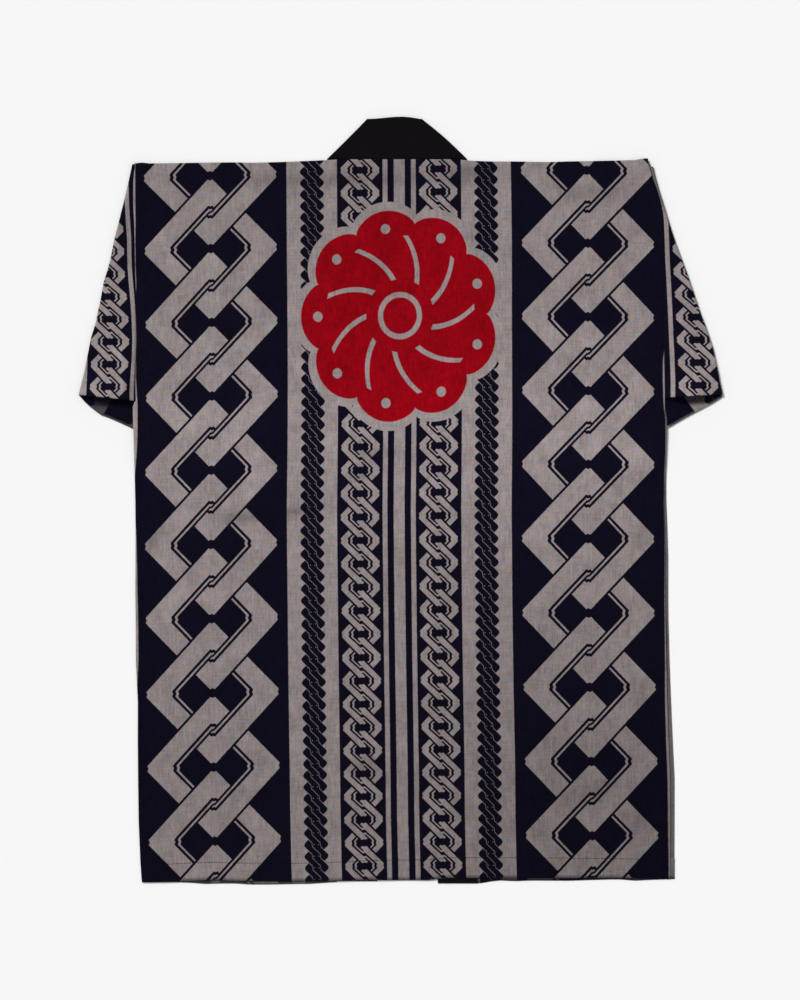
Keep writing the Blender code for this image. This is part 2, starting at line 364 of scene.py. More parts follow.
# Creases of the back, most of them running across where the coat was folded for storage
BACK_CREASES = table(
    SoftMark,
    (316.0, -165.0, 90.0, 270.0, 6.0, 2.2),
    (-150.0, 182.0, 4.0, 240.0, 16.0, 0.9),
    (-110.0, 196.0, -3.0, 190.0, 14.0, -0.6),
    (30.0, 190.0, 3.0, 260.0, 18.0, 0.8),
    (215.0, 181.0, -5.0, 150.0, 14.0, 0.7),
    (-128.0, 379.0, -20.0, 44.0, 6.0, 0.8),
    (88.0, 391.0, 30.0, 34.0, 5.0, 0.7),
    (91.0, 371.0, 12.0, 50.0, 6.0, 0.8),
    (200.0, 363.0, 8.0, 110.0, 10.0, 1.0),
    (254.0, 350.0, -16.0, 80.0, 9.0, -0.5),
    (-250.0, 372.0, 8.0, 90.0, 9.0, 0.7),
    (-262.0, 183.0, -12.0, 80.0, 10.0, 0.7),
    (-248.0, 76.0, 10.0, 100.0, 12.0, 0.8),
    (232.0, 92.0, -8.0, 120.0, 12.0, 0.9),
    (2.0, 62.0, 6.0, 60.0, 8.0, 0.7),
    (18.0, 128.0, 82.0, 90.0, 7.0, 0.5),
    (-130.0, -16.0, -6.0, 130.0, 14.0, 0.8),
    (-236.0, 22.0, 24.0, 90.0, 9.0, 0.6),
    (198.0, -36.0, 30.0, 110.0, 10.0, 0.7),
    (258.0, -16.0, -26.0, 70.0, 8.0, -0.5),
    (-236.0, -161.0, 2.0, 150.0, 5.0, 0.8),
    (-120.0, -178.0, -4.0, 190.0, 16.0, 1.0),
    (-150.0, -236.0, 4.0, 170.0, 15.0, -0.6),
    (160.0, -180.0, 5.0, 200.0, 16.0, 0.8),
    (-84.0, -321.0, -2.0, 46.0, 4.0, 0.9),
    (-46.0, -317.0, 4.0, 60.0, 5.0, 0.7),
    (-16.0, -305.0, 80.0, 40.0, 4.0, 0.7),
    (84.0, -392.0, -14.0, 40.0, 4.0, 0.7),
    (66.0, -384.0, -22.0, 50.0, 5.0, 0.6),
    (200.0, -358.0, 26.0, 110.0, 10.0, -0.6),
    (252.0, -300.0, -30.0, 110.0, 12.0, 0.7),
    (228.0, -262.0, 12.0, 90.0, 9.0, 0.6),
    (-250.0, -330.0, -14.0, 90.0, 11.0, 0.6),
    (-272.0, -414.0, 60.0, 46.0, 7.0, 0.6),
    (118.0, -424.0, 84.0, 40.0, 6.0, 0.5),
    (-196.0, -432.0, 88.0, 34.0, 6.0, 0.5),
)

# Painted shade of the back: soft dark marks under the shoulder line and the collar band, along a crease and
# in patches elsewhere
SHADE_MARKS = table(
    SoftMark,
    (-165.0, 378.0, 0.0, 360.0, 8.0, 0.34, 0.0),
    (8.0, 379.0, 1.0, 320.0, 10.0, 0.34, 0.0),
    (225.0, 365.0, -2.0, 260.0, 10.0, 0.26, 0.0),
    (77.0, 390.0, 0.0, 90.0, 8.0, 0.4, 0.0),
    (-160.0, -17.0, 6.0, 240.0, 8.0, 0.5, 0.0),
    (-296.0, -46.0, 60.0, 90.0, 12.0, 0.45, 0.0),
    (-60.0, 24.0, 40.0, 90.0, 9.0, 0.32, 0.0),
    (-30.0, 55.0, 10.0, 80.0, 9.0, 0.3, 0.0),
    (-50.0, -314.0, 8.0, 80.0, 9.0, 0.36, 0.0),
    (286.0, -38.0, 70.0, 60.0, 10.0, 0.4, 0.0),
    (278.0, -386.0, 60.0, 60.0, 10.0, 0.4, 0.0),
    (284.0, -236.0, -60.0, 60.0, 10.0, 0.32, 0.0),
    (232.0, -342.0, 20.0, 120.0, 9.0, 0.3, 0.0),
)

# Creases of the fronts, which lie hidden under the back
FRONT_CREASES = table(
    SoftMark,
    (-200.0, 60.0, 6.0, 160.0, 14.0, 0.5),
    (-180.0, -170.0, -5.0, 150.0, 14.0, 0.5),
    (-230.0, -330.0, 20.0, 100.0, 11.0, 0.4),
    (190.0, 40.0, -4.0, 170.0, 14.0, 0.5),
    (230.0, -200.0, 8.0, 150.0, 13.0, 0.5),
    (180.0, -340.0, -12.0, 120.0, 11.0, 0.4),
)


@dataclass(frozen=True)
class Cut:
    """Cloth coordinates of a point: across from the pattern's middle, and down the cloth."""

    across: float
    down: float


Place = Callable[[int, int], Vector]
Chart = Callable[[int, int], Cut]


def mix(start: float, end: float, share: float) -> float:
    """Go a share of the way from start to end."""
    return start + (end - start) * share


def ease(share: float) -> float:
    """Rise softly from 0 to 1 and stay there."""
    share = min(max(share, 0.0), 1.0)
    return share * share * (3 - 2 * share)


def read_row(rows: Sequence[Row], place: float) -> Row:
    """Read all columns of a table, straight between its rows.

    Args:
        rows: The table, in rising order of its first column.
        place: Where to read it, in metres along the first column.

    Returns:
        A row of the values there, in metres.
    """
    place = place / MM
    before = rows[0]
    after = rows[1]
    for following in rows[2:]:
        if place <= after[0]:
            break
        before, after = after, following
    share = min(max((place - before[0]) / (after[0] - before[0]), 0.0), 1.0)
    return type(before)(*(mix(start, end, share) * MM for start, end in zip(before, after)))


def read(rows: Sequence[Row], place: float, column: str) -> float:
    """Read one column of a table, in metres."""
    return getattr(read_row(rows, place), column)


def follow(places: Sequence[float], values: Sequence[float], place: float, slope: float = 0.0) -> float:
    """Read a line of values, straight between their places and at a slope outside them.

    Args:
        places: Where the values stand, in rising order.
        values: The values.
        place: Where to read.
        slope: Rise for each metre past either end.

    Returns:
        The value there.
    """
    if place <= places[0]:
        return values[0] + (place - places[0]) * slope
    for index in range(1, len(places)):
        if place <= places[index]:
            share = (place - places[index - 1]) / (places[index] - places[index - 1])
            return mix(values[index - 1], values[index], share)
    return values[-1] + (place - places[-1]) * slope


def distance_outside(corners: Sequence[Vector], point: Vector) -> float:
    """Measure how far a point lies outside a patch with straight edges.

    Args:
        corners: The patch's corners, going round.
        point: The level place.

    Returns:
        The distance, 0 inside the patch.
    """
    centre = sum(corners, Vector((0.0, 0.0))) / len(corners)
    farthest = 0.0
    for start, end in zip(corners, corners[1:] + corners[:1]):
        run = (end - start).normalized()
        normal = Vector((run.y, -run.x))
        if (centre - start).dot(normal) > 0:
            normal = -normal
        farthest = max(farthest, (point - start).dot(normal))
    return farthest


def spread(count: int, span: float, margins: Sequence[float], far_margin: bool = True) -> list[float]:
    """Share out the lines of a grid across a span, closer together along its edges.

    Args:
        count: How many steps there are in all.
        span: The length that they cross.
        margins: Distances from the edge of the first lines.
        far_margin: Whether the far edge has such lines too.

    Returns:
        The place of each line, as shares of the span.
    """
    near = [distance / span for distance in margins]
    far = [1 - share for share in reversed(near)] if far_margin else [1.0]
    inner = count + 1 - len(near) - len(far)
    middle = [mix(near[-1], far[0], (step + 1) / (inner + 1)) for step in range(inner)]
    return near + middle + far


def total_strength(marks: Sequence[SoftMark], point: Vector) -> float:
    """Add up the soft marks near a point.

    Args:
        marks: Creases, or marks of painted shade.
        point: The level place.

    Returns:
        The height of the creases in millimetres, or the painted shade's share of darkening.
    """
    total = 0.0
    for mark in marks:
        away = point - Vector((mark.x, mark.y)) * MM
        if abs(away.y) > mark.length * MM and abs(away.x) > mark.length * MM:
            continue
        angle = math.radians(mark.turn)
        along = (away.x * math.cos(angle) + away.y * math.sin(angle)) / (mark.length * MM / 2)
        bow = mark.bow * mark.length * MM * along * along
        across = (away.y * math.cos(angle) - away.x * math.sin(angle) + bow) / (mark.width * MM)
        if abs(along) < 1 and abs(across) < MARK_TAIL:
            total += mark.strength * math.cos(along * math.pi / 2) ** 2 * math.exp(-across * across)
    return total


def deselect() -> None:
    """Deselect everything, so that an operator acts on the new piece alone."""
    bpy.ops.object.select_all(action="DESELECT")


def new_grid(name: str, columns: int, rows: int) -> bpy.types.Object:
    """Add a flat grid, one metre square.

    Args:
        name: The piece's name.
        columns: Faces across.
        rows: Faces up.

    Returns:
        The piece.
    """
    deselect()
    bpy.ops.mesh.primitive_grid_add(x_subdivisions=columns, y_subdivisions=rows, size=1.0)
    piece = bpy.context.active_object
    piece.name = name
    piece.data.name = name
    return piece


def apply_modifier(piece: bpy.types.Object, kind: str, **settings: object) -> None:
    """Add a modifier and apply it.

    Args:
        piece: The piece.
        kind: The modifier's type.
        settings: Its properties, by name.
    """
    modifier = piece.modifiers.new(kind.title(), kind)
    for setting, value in settings.items():
        setattr(modifier, setting, value)
    deselect()
    piece.select_set(True)
    bpy.context.view_layer.objects.active = piece
    bpy.ops.object.modifier_apply(modifier=modifier.name)


def lay_cloth(
    name: str, steps: tuple[int, int], place: Place, cut: Chart, thickness: float
) -> bpy.types.Object:
    """Lay a grid of cloth point by point and give it its thickness.

    Args:
        name: The piece's name.
        steps: How many faces the grid has each way.
        place: Gives the place of a point from its two steps.
        cut: Gives the cloth coordinates of a point from its two steps.
        thickness: The cloth's thickness.

    Returns:
        The finished piece, at the origin, with a UV map of its cloth coordinates.
    """
    piece = new_grid(name, *steps)
    cloth = bmesh.new()
    cloth.from_mesh(piece.data)
    chart = cloth.loops.layers.uv.verify()
    numbers = {}
    for point in cloth.verts:
        numbers[point] = (round((point.co.x + 0.5) * steps[0]), round((point.co.y + 0.5) * steps[1]))
    cuts = {point: cut(*numbers[point]) for point in cloth.verts}
    for face in cloth.faces:
        for corner in face.loops:
            laid = cuts[corner.vert]
            corner[chart].uv = (laid.across, laid.down)
    for point in cloth.verts:
        point.co = place(*numbers[point])
    bmesh.ops.remove_doubles(cloth, verts=cloth.verts, dist=MERGE)
    bmesh.ops.recalc_face_normals(cloth, faces=cloth.faces)
    cloth.to_mesh(piece.data)
    cloth.free()
    apply_modifier(piece, "SOLIDIFY", thickness=thickness, offset=0.0, use_even_offset=True)
    piece.data.shade_smooth()
    return piece


class Wire:
    """A value in a shader: a socket whose operators add Math nodes."""

    def __init__(self, bench: "Bench", socket: bpy.types.NodeSocket) -> None:
        """Wrap a socket of a bench's node tree."""
        self.bench = bench
        self.socket = socket

    def __add__(self, other: "Value") -> "Wire":
        """Add."""
        return self.bench.maths("ADD", self, other)

    def __radd__(self, other: "Value") -> "Wire":
        """Add to a number."""
        return self.bench.maths("ADD", other, self)

    def __sub__(self, other: "Value") -> "Wire":
        """Subtract."""
        return self.bench.maths("SUBTRACT", self, other)

    def __rsub__(self, other: "Value") -> "Wire":
        """Subtract from a number."""
        return self.bench.maths("SUBTRACT", other, self)

    def __mul__(self, other: "Value") -> "Wire":
        """Multiply."""
        return self.bench.maths("MULTIPLY", self, other)

    def __rmul__(self, other: "Value") -> "Wire":
        """Multiply a number."""
        return self.bench.maths("MULTIPLY", other, self)

    def __truediv__(self, other: "Value") -> "Wire":
        """Divide."""
        return self.bench.maths("DIVIDE", self, other)

    def __neg__(self) -> "Wire":
        """Change sign."""
        return self.bench.maths("MULTIPLY", self, -1.0)

    def __abs__(self) -> "Wire":
        """Distance from zero."""
        return self.bench.maths("ABSOLUTE", self)


Value = Wire | float
Colour = tuple[float, float, float]


class Finish(Protocol):
    """What every finish holds: depth of its relief in metres, sheen and specular level."""

    relief: float
    sheen: float
    sheen_roughness: float
    specular: float


class Bench:
    """A material being made: its node tree, and the ways to add to it."""

    def __init__(self, name: str) -> None:
        """Start an empty material.

        Args:
            name: The material's name.
        """
        self.material = bpy.data.materials.new(name)
        self.material.use_nodes = True
        self.tree = self.material.node_tree
        self.tree.nodes.clear()

    def node(self, kind: str, settings: dict | None = None, inputs: dict | None = None) -> bpy.types.Node:
        """Add a node.

        Args:
            kind: Its type.
            settings: Its properties, set before its sockets.
            inputs: Values or wires for its sockets, by name or number.

        Returns:
            The node.
        """
        made = self.tree.nodes.new(kind)
        for setting, value in (settings or {}).items():
            setattr(made, setting, value)
        for key, value in (inputs or {}).items():
            if isinstance(value, Wire):
                self.tree.links.new(value.socket, made.inputs[key])
            else:
                made.inputs[key].default_value = value
        return made

    def wire(self, made: bpy.types.Node, output: str | int = 0) -> Wire:
        """Take a node's output as a value."""
        return Wire(self, made.outputs[output])

    def chart(self) -> tuple[Wire, Wire]:
        """Read the cloth coordinates.

        Returns:
            The distance across from the pattern's middle, and the one down the cloth.
        """
        places = self.wire(self.node("ShaderNodeUVMap"))
        split = self.node("ShaderNodeSeparateXYZ", {}, {0: places})
        return self.wire(split, 0), self.wire(split, 1)

    def maths(self, operation: str, *values: Value, clamp: bool = False) -> Wire:
        """Add a Math node."""
        settings = {"operation": operation, "use_clamp": clamp}
        return self.wire(self.node("ShaderNodeMath", settings, dict(enumerate(values))))

    def most(self, *values: Value) -> Wire:
        """Take the largest of several values.

        Args:
            values: The values.

        Returns:
            The largest.
        """
        top = values[0]
        for value in values[1:]:
            top = self.maths("MAXIMUM", top, value)
        return top

    def soft(self, value: Value, width: float) -> Wire:
        """Rise from 0 to 1 over a narrow width about zero."""
        return self.maths("MULTIPLY_ADD", value, 1 / width, 0.5, clamp=True)

    def band(self, value: Value, low: float, high: float, width: float) -> Wire:
        """Be 1 between two limits and 0 outside them, with soft edges."""
        away = abs(value - (low + high) / 2)
        return self.maths("MULTIPLY_ADD", away, -1 / width, (high - low) / 2 / width + 0.5, clamp=True)

    def blend(self, start: Value, end: Value, share: Value) -> Wire:
        """Go a share of the way from one value to another."""
        return start + (end - start) * share

    def noise(self, vector: Wire, scale: float, detail: float = 2.0, finer: float = 0.5) -> Wire:
        """Noise about zero, from -0.5 to 0.5, with a share of finer detail."""
        inputs = {"Vector": vector, "Scale": scale, "Detail": detail, "Roughness": finer}
        return self.wire(self.node("ShaderNodeTexNoise", {}, inputs)) - 0.5

    def vector(self, x: Value, y: Value, z: Value) -> Wire:
        """Join three values in a vector."""
        return self.wire(self.node("ShaderNodeCombineXYZ", {}, {0: x, 1: y, 2: z}))

    def colour_mix(self, start: Wire | Colour, end: Wire | Colour, share: Value) -> Wire:
        """Mix two colours.

        Args:
            start: The colour at a share of 0.
            end: The colour at a share of 1.
            share: The share.

        Returns:
            The mixed colour.
        """
        first = start if isinstance(start, Wire) else (*start, 1.0)
        second = end if isinstance(end, Wire) else (*end, 1.0)
        made = self.node("ShaderNodeMix", {"data_type": "RGBA"}, {0: share, 6: first, 7: second})
        return self.wire(made, 2)

    def tint(self, colour: Wire, dye: Wire) -> Wire:
        """Multiply a colour by another."""
        settings = {"data_type": "RGBA", "blend_type": "MULTIPLY"}
        return self.wire(self.node("ShaderNodeMix", settings, {0: 1.0, 6: colour, 7: dye}), 2)

    def scale_colour(self, colour: Wire, factor: Value) -> Wire:
        """Make a colour lighter or darker."""
        return self.tint(colour, self.vector(factor, factor, factor))

    def finish(self, colour: Wire, roughness: Value, height: Wire, look: Finish) -> bpy.types.Material:
        """Join the colour, roughness and relief to a shader.

        Args:
            colour: Base colour.
            roughness: Roughness.
            height: Relief from 0 to 1.
            look: The finish, whose depth of relief, sheen and specular are the same all over.

        Returns:
            The material.
        """
        bump = {"Strength": 1.0, "Distance": look.relief, "Height": height}
        inputs = {
            "Base Color": colour,
            "Roughness": roughness,
            "Normal": self.wire(self.node("ShaderNodeBump", {}, bump)),
            "Sheen Weight": look.sheen,
            "Sheen Roughness": look.sheen_roughness,
            "Specular IOR Level": look.specular,
        }
        self.shade(inputs)
        return self.material

    def shade(self, inputs: dict) -> None:
        """Join a shader to the material's output.

        Args:
            inputs: Values or wires for the shader's sockets, by name.
        """
        shader = self.node("ShaderNodeBsdfPrincipled", {}, inputs)
        output = self.node("ShaderNodeOutputMaterial")
        self.tree.links.new(shader.outputs[0], output.inputs["Surface"])


class Lean(Enum):
    """Which bars of a chain lie on top."""

    UP_RIGHT = 1.0
    DOWN_RIGHT = -1.0


@dataclass(frozen=True)
class ChainDesign:
    """A column of linked diamonds, in metres. Widths of lines are measured across the cloth."""

    centre: float
    period: float
    start: float
    half_width: float
    half_height: float
    flat: float
    bar: float
    line: float
    inline: float
    inner_line: float
    gap: float
    notch: float
    notch_half: float
    end_bar: float
    steep: float
    taper: float
    jog: float
    jog_reach: float
    seam_half: float
    seam_reach: float
    lean: Lean

    @property
    def slope(self) -> float:
        """Run across of a link's slanted edge for each metre down."""
        return (self.half_width + self.flat / 2) / (self.half_height + self.flat / 2)

    @property
    def reach(self) -> float:
        """Half-width of the link before its tips are cut flat."""
        return self.half_width + self.slope * self.flat / 2

    def link(self, bench: Bench, side: Wire, down: Wire) -> tuple[Wire, Wire]:
        """Measure outwards from a link's middle, to `self.reach` at its outer edge.

        Args:
            bench: The material being made.
            side: Distance from the column's middle.
            down: Distance down from the link's middle.

        Returns:
            The distance for its outer edge, and the one for its inner lines.
        """
        nick_side = bench.band(down, -self.notch_half, self.notch_half, self.notch_half) * self.notch
        nick_end = bench.band(side, -self.notch_half, self.notch_half, self.notch_half) * self.notch
        slanted = side + self.slope * down
        at_tip = side + (self.reach - self.half_width) + nick_side
        depth = self.half_height - down
        lines = self.reach - self.bar - self.steep * (depth - self.end_bar)
        at_end = bench.maths("MINIMUM", self.reach - self.slope * depth, lines) + nick_end
        tapered = slanted + bench.maths("MAXIMUM", down - self.flat / 2, 0.0) * self.taper
        return bench.most(slanted, at_tip, at_end), bench.most(tapered, at_tip, at_end)

    def bars(self, bench: Bench, outer: Wire, inner: Wire, edge: float) -> Wire:
        """Draw the pale parts of one link: its bar and its fine inner line.

        Args:
            bench: The material being made.
            outer: The link's distance for its outer edge.
            inner: The link's distance for its inner lines.
            edge: Softness of the edges.

        Returns:
            A mask, 1 on the pale parts.
        """
        start = self.reach - self.bar
        bar = bench.soft(self.reach - outer, edge) * bench.soft(inner - start, edge)
        fine = bench.band(inner, start - self.line - self.inline, start - self.line, edge)
        return bench.most(bar, fine)

    def draw(self, bench: Bench, across: Wire, down: Wire, edge: float) -> Wire:
        """Pale parts of the whole column.

        Args:
            bench: The material being made.
            across: Distance from the column's middle.
            down: Distance down the cloth.
            edge: Softness of the edges.

        Returns:
            A mask, 1 on the chain.
        """
        below = bench.maths("FLOORED_MODULO", down - self.start, self.period)
        side = abs(across)
        upper_outer, upper_inner = self.link(bench, side, below)
        lower_outer, lower_inner = self.link(bench, side, self.period - below)
        above = self.period / 2 - below
        shift = (bench.soft(above, self.jog_reach * 2) * 2 - 1) * self.jog
        beyond = across * self.lean.value - above * self.slope + shift
        left = bench.maths("LESS_THAN", beyond, 0.0)
        over_outer = bench.blend(upper_outer, lower_outer, left)
        over_inner = bench.blend(upper_inner, lower_inner, left)
        under_outer = upper_outer + lower_outer - over_outer
        under_inner = upper_inner + lower_inner - over_inner
        inside = self.reach - self.bar - self.line - self.inline - self.inner_line
        owned = bench.soft(over_inner - inside, edge) * bench.soft(self.reach + self.gap - over_outer, edge)
        seam = bench.band(beyond, -self.seam_half, self.seam_half, edge)
        seam = seam * bench.band(above, -self.seam_reach, self.seam_reach, edge)
        under = self.bars(bench, under_outer, under_inner, edge)
        over = self.bars(bench, over_outer, over_inner, edge)
        return bench.blend(under, over, owned) * (1 - seam)


@dataclass(frozen=True)
class RopeDesign:
    """A column of dark twisted strands, in metres."""

    centre: float
    period: float
    start: float
    half_width: float
    waist: float
    lay: float
    kink: float
    kink_place: float
    kink_width: float
    line: float
    speck: float
    speck_share: float
    speck_place: float
    lobe_shift: float
    lobe_power: float

    def thinning(self, slope: float) -> float:
        """Width of a slanted line measured straight across it, for each metre down."""
        return self.period / math.hypot(1.0, slope * self.period)

    def draw(self, bench: Bench, across: Wire, down: Wire, edge: float) -> Wire:
        """Draw the column's strands, parted by pale fine lines.

        Args:
            bench: The material being made.
            across: Distance from the column's middle.
            down: Distance down the cloth.
            edge: Softness of the edges.

        Returns:
            A mask, 1 on the dark parts.
        """
        turn = (down - self.start) / self.period
        lobes = turn - bench.maths("SIGN", across) * self.lobe_shift
        swell = bench.maths("POWER", abs(bench.maths("COSINE", lobes * math.pi)), self.lobe_power)
        half = self.waist + (self.half_width - self.waist) * swell
        solid = bench.soft(half - abs(across), edge)
        half_kink = self.kink_width / 2
        kinks = bench.soft(across - self.kink_place, self.kink_width)
        kinks = kinks + bench.soft(across + self.kink_place, self.kink_width)
        strand = bench.maths("FLOORED_MODULO", turn - across * self.lay - (kinks - 1) * self.kink, 1.0)
        plain = self.thinning(self.lay)
        steep = self.thinning(self.lay + self.kink / self.kink_width)
        kink_start = self.kink_place - half_kink
        kink_end = self.kink_place + half_kink
        kinked = bench.band(abs(across), kink_start, kink_end, half_kink / 2)
        off = (strand - 0.5) * (plain + kinked * (steep - plain))
        fine = bench.band(off, -self.line / 2, self.line / 2, edge)
        level = (bench.maths("FLOORED_MODULO", turn + 0.5, 1.0) - 0.5) * self.period
        beside = abs(across) - self.speck_place
        speck = bench.soft(self.speck - bench.maths("SQRT", level * level + beside * beside), edge)
        return solid * (1 - bench.most(fine, speck * self.speck_share))


@dataclass(frozen=True)
class Rosette:
    """A round festive ornament with scalloped edge, in metres."""

    across: float
    down: float
    half_width: float
    half_height: float
    lobes: int
    scallop: float
    scallop_power: float
    halo: float
    slit: float
    slit_start: float
    slit_end: float
    twist: float
    hub: float
    hub_ring: float
    bead: float
    bead_place: float

    def draw(self, bench: Bench, across: Wire, down: Wire, edge: float) -> tuple[Wire, Wire]:
        """Masks of the red parts and of the pale ground about them.

        Args:
            bench: The material being made.
            across: Distance from the pattern's middle.
            down: Distance down the cloth.
            edge: Softness of the edges.

        Returns:
            The red mask and the mask of the ground with its halo.
        """
        x = across - self.across
        y = (down - self.down) * (self.half_width / self.half_height)
        radius = bench.maths("SQRT", x * x + y * y)
        angle = bench.maths("ARCTAN2", y, x)
        half_lobes = self.lobes / 2
        lobe = abs(bench.maths("SINE", angle * half_lobes))
        swell = self.scallop * bench.maths("POWER", lobe, self.scallop_power)
        outline = self.half_width - self.scallop + swell
        red = bench.soft(outline - radius, edge)
        ground = bench.soft(outline + self.halo - radius, edge)
        swirl = angle + radius * self.twist
        sector = bench.maths("SINE", swirl * half_lobes) * radius * (1 / half_lobes)
        slit = bench.band(sector, -self.slit / 2, self.slit / 2, edge)
        slit = slit * bench.band(radius, self.slit_start, self.slit_end, edge)
        ring = bench.band(radius, self.hub, self.hub + self.hub_ring, edge)
        petal = bench.maths("COSINE", angle * half_lobes) * radius * (1 / half_lobes)
        outward = radius - self.bead_place
        bead = bench.soft(self.bead - bench.maths("SQRT", petal * petal + outward * outward), edge)
        cleared = bench.most(slit, ring, bead)
        return red * (1 - cleared), ground


LARGE_CHAIN = ChainDesign(
    centre=222.1 * MM,
    period=87.14 * MM,
    start=0.0,
    half_width=77.6 * MM,
    half_height=82.3 * MM,
    flat=7.0 * MM,
    bar=29.9 * MM,
    line=4.3 * MM,
    inline=2.9 * MM,
    inner_line=4.1 * MM,
    gap=3.8 * MM,
    notch=0.75 * MM,
    notch_half=1.3 * MM,
    end_bar=30.9 * MM,
    steep=1.15,
    taper=0.0,
    jog=1.06 * MM,
    jog_reach=5.0 * MM,
    seam_half=1.0 * MM,
    seam_reach=1.9 * MM,
    lean=Lean.UP_RIGHT,
)
SMALL_CHAIN = ChainDesign(
    centre=46.1 * MM,
    period=27.46 * MM,
    start=18.5 * MM,
    half_width=22.6 * MM,
    half_height=23.5 * MM,
    flat=5.9 * MM,
    bar=7.9 * MM,
    line=3.1 * MM,
    inline=2.1 * MM,
    inner_line=3.7 * MM,
    gap=3.2 * MM,
    notch=0.5 * MM,
    notch_half=0.9 * MM,
    end_bar=12.0 * MM,
    steep=1.64,
    taper=0.084,
    jog=4.1 * MM,
    jog_reach=3.0 * MM,
    seam_half=1.3 * MM,
    seam_reach=1.95 * MM,
    lean=Lean.DOWN_RIGHT,
)
ROPE = RopeDesign(
    centre=102.6 * MM,
    period=13.71 * MM,
    start=6.0 * MM,
    half_width=14.1 * MM,
    waist=8.73 * MM,
    lay=0.075 / MM,
    kink=0.287,
    kink_place=4.85 * MM,
    kink_width=0.95 * MM,
    line=0.4 * MM,
    speck=0.55 * MM,
    speck_share=0.7,
    speck_place=2.75 * MM,
    lobe_shift=-0.035,
    lobe_power=1.1,
)
ROSETTE = Rosette(
    across=0.4 * MM,
    down=83.4 * MM,
    half_width=117.0 * MM,
    half_height=127.0 * MM,
    lobes=9,
    scallop=15.0 * MM,
    scallop_power=0.7,
    halo=10.0 * MM,
    slit=6.0 * MM,
    slit_start=40.0 * MM,
    slit_end=88.0 * MM,
    twist=9.0,
    hub=20.0 * MM,
    hub_ring=6.0 * MM,
    bead=5.5 * MM,
    bead_place=97.0 * MM,
)
STRIPES = table(
    Stripe,
    (-1.0, 6.4),
    (13.9, 19.5),
    (73.2, 132.4),
    (309.4, 330.0),
)


def body_cut(point: Vector) -> Cut:
    """Cloth coordinates of a point of the body, from where the print lies.

    Args:
        point: The level place.

    Returns:
        Its cloth coordinates.
    """
    row = read_row(PRINT, point.y)
    sides = read_row(SIDES, point.y)
    clear = LARGE_CHAIN.half_width + TIP_CLEARANCE
    chain = LARGE_CHAIN.centre
    pale = STRIPES[-1].start * MM
    places = (sides.left_pale, row.left - clear, row.left, row.middle)
    places += (row.right, row.right + clear, sides.right_pale)
    cuts = (-pale, -chain - clear, -chain, 0.0, chain, chain + clear, pale)
    across = follow(places, cuts, point.x, 1.0)
    drop = follow(places[2:5], (row.left_drop, row.middle_drop, row.right_drop), point.x)
    tips = read_row(LINK_LINES, point.x)
    down = (tips.first - point.y - drop) / (tips.first - tips.last) * LINK_ROWS * LARGE_CHAIN.period
    return Cut(across, down)


@dataclass(frozen=True)
class PointMark:
    """A share written on the points of a piece and read by its material, 0 on a piece without it."""

    name: str

    def write(self, piece: bpy.types.Object, share: Callable[[bpy.types.MeshVertex], float]) -> None:
        """Give every point of a piece its share."""
        mark = piece.data.attributes.new(self.name, "FLOAT", "POINT")
        mark.data.foreach_set("value", [share(point) for point in piece.data.vertices])

    def read(self, bench: Bench) -> Wire:
        """Read the share in a material."""
        made = bench.node("ShaderNodeAttribute", {"attribute_name": self.name})
        return bench.wire(made, "Fac")


ORNAMENT = PointMark("ornament")
# Painted shade, and the darker wrong side of the cloth
SHADE_AND_WRONG_SIDE = PointMark("shade_and_wrong_side_share")
# Painted highlight along a sleeve's edge, and wear at a hem
EDGE_HIGHLIGHT_AND_WEAR = PointMark("edge_highlight_and_wear")


@dataclass(frozen=True)
class Grain:
    """Noise in a cloth: how many grains lie along a metre each way, and which layer of noise it is."""

    across: float
    down: float
    layer: float
    detail: float = 2.0
    finer: float = 0.5

    def draw(self, bench: Bench, across: Wire, down: Wire) -> Wire:
        """Draw the grain, about zero."""
        place = bench.vector(across * self.across, down * self.down, self.layer)
        return bench.noise(place, 1.0, self.detail, self.finer)


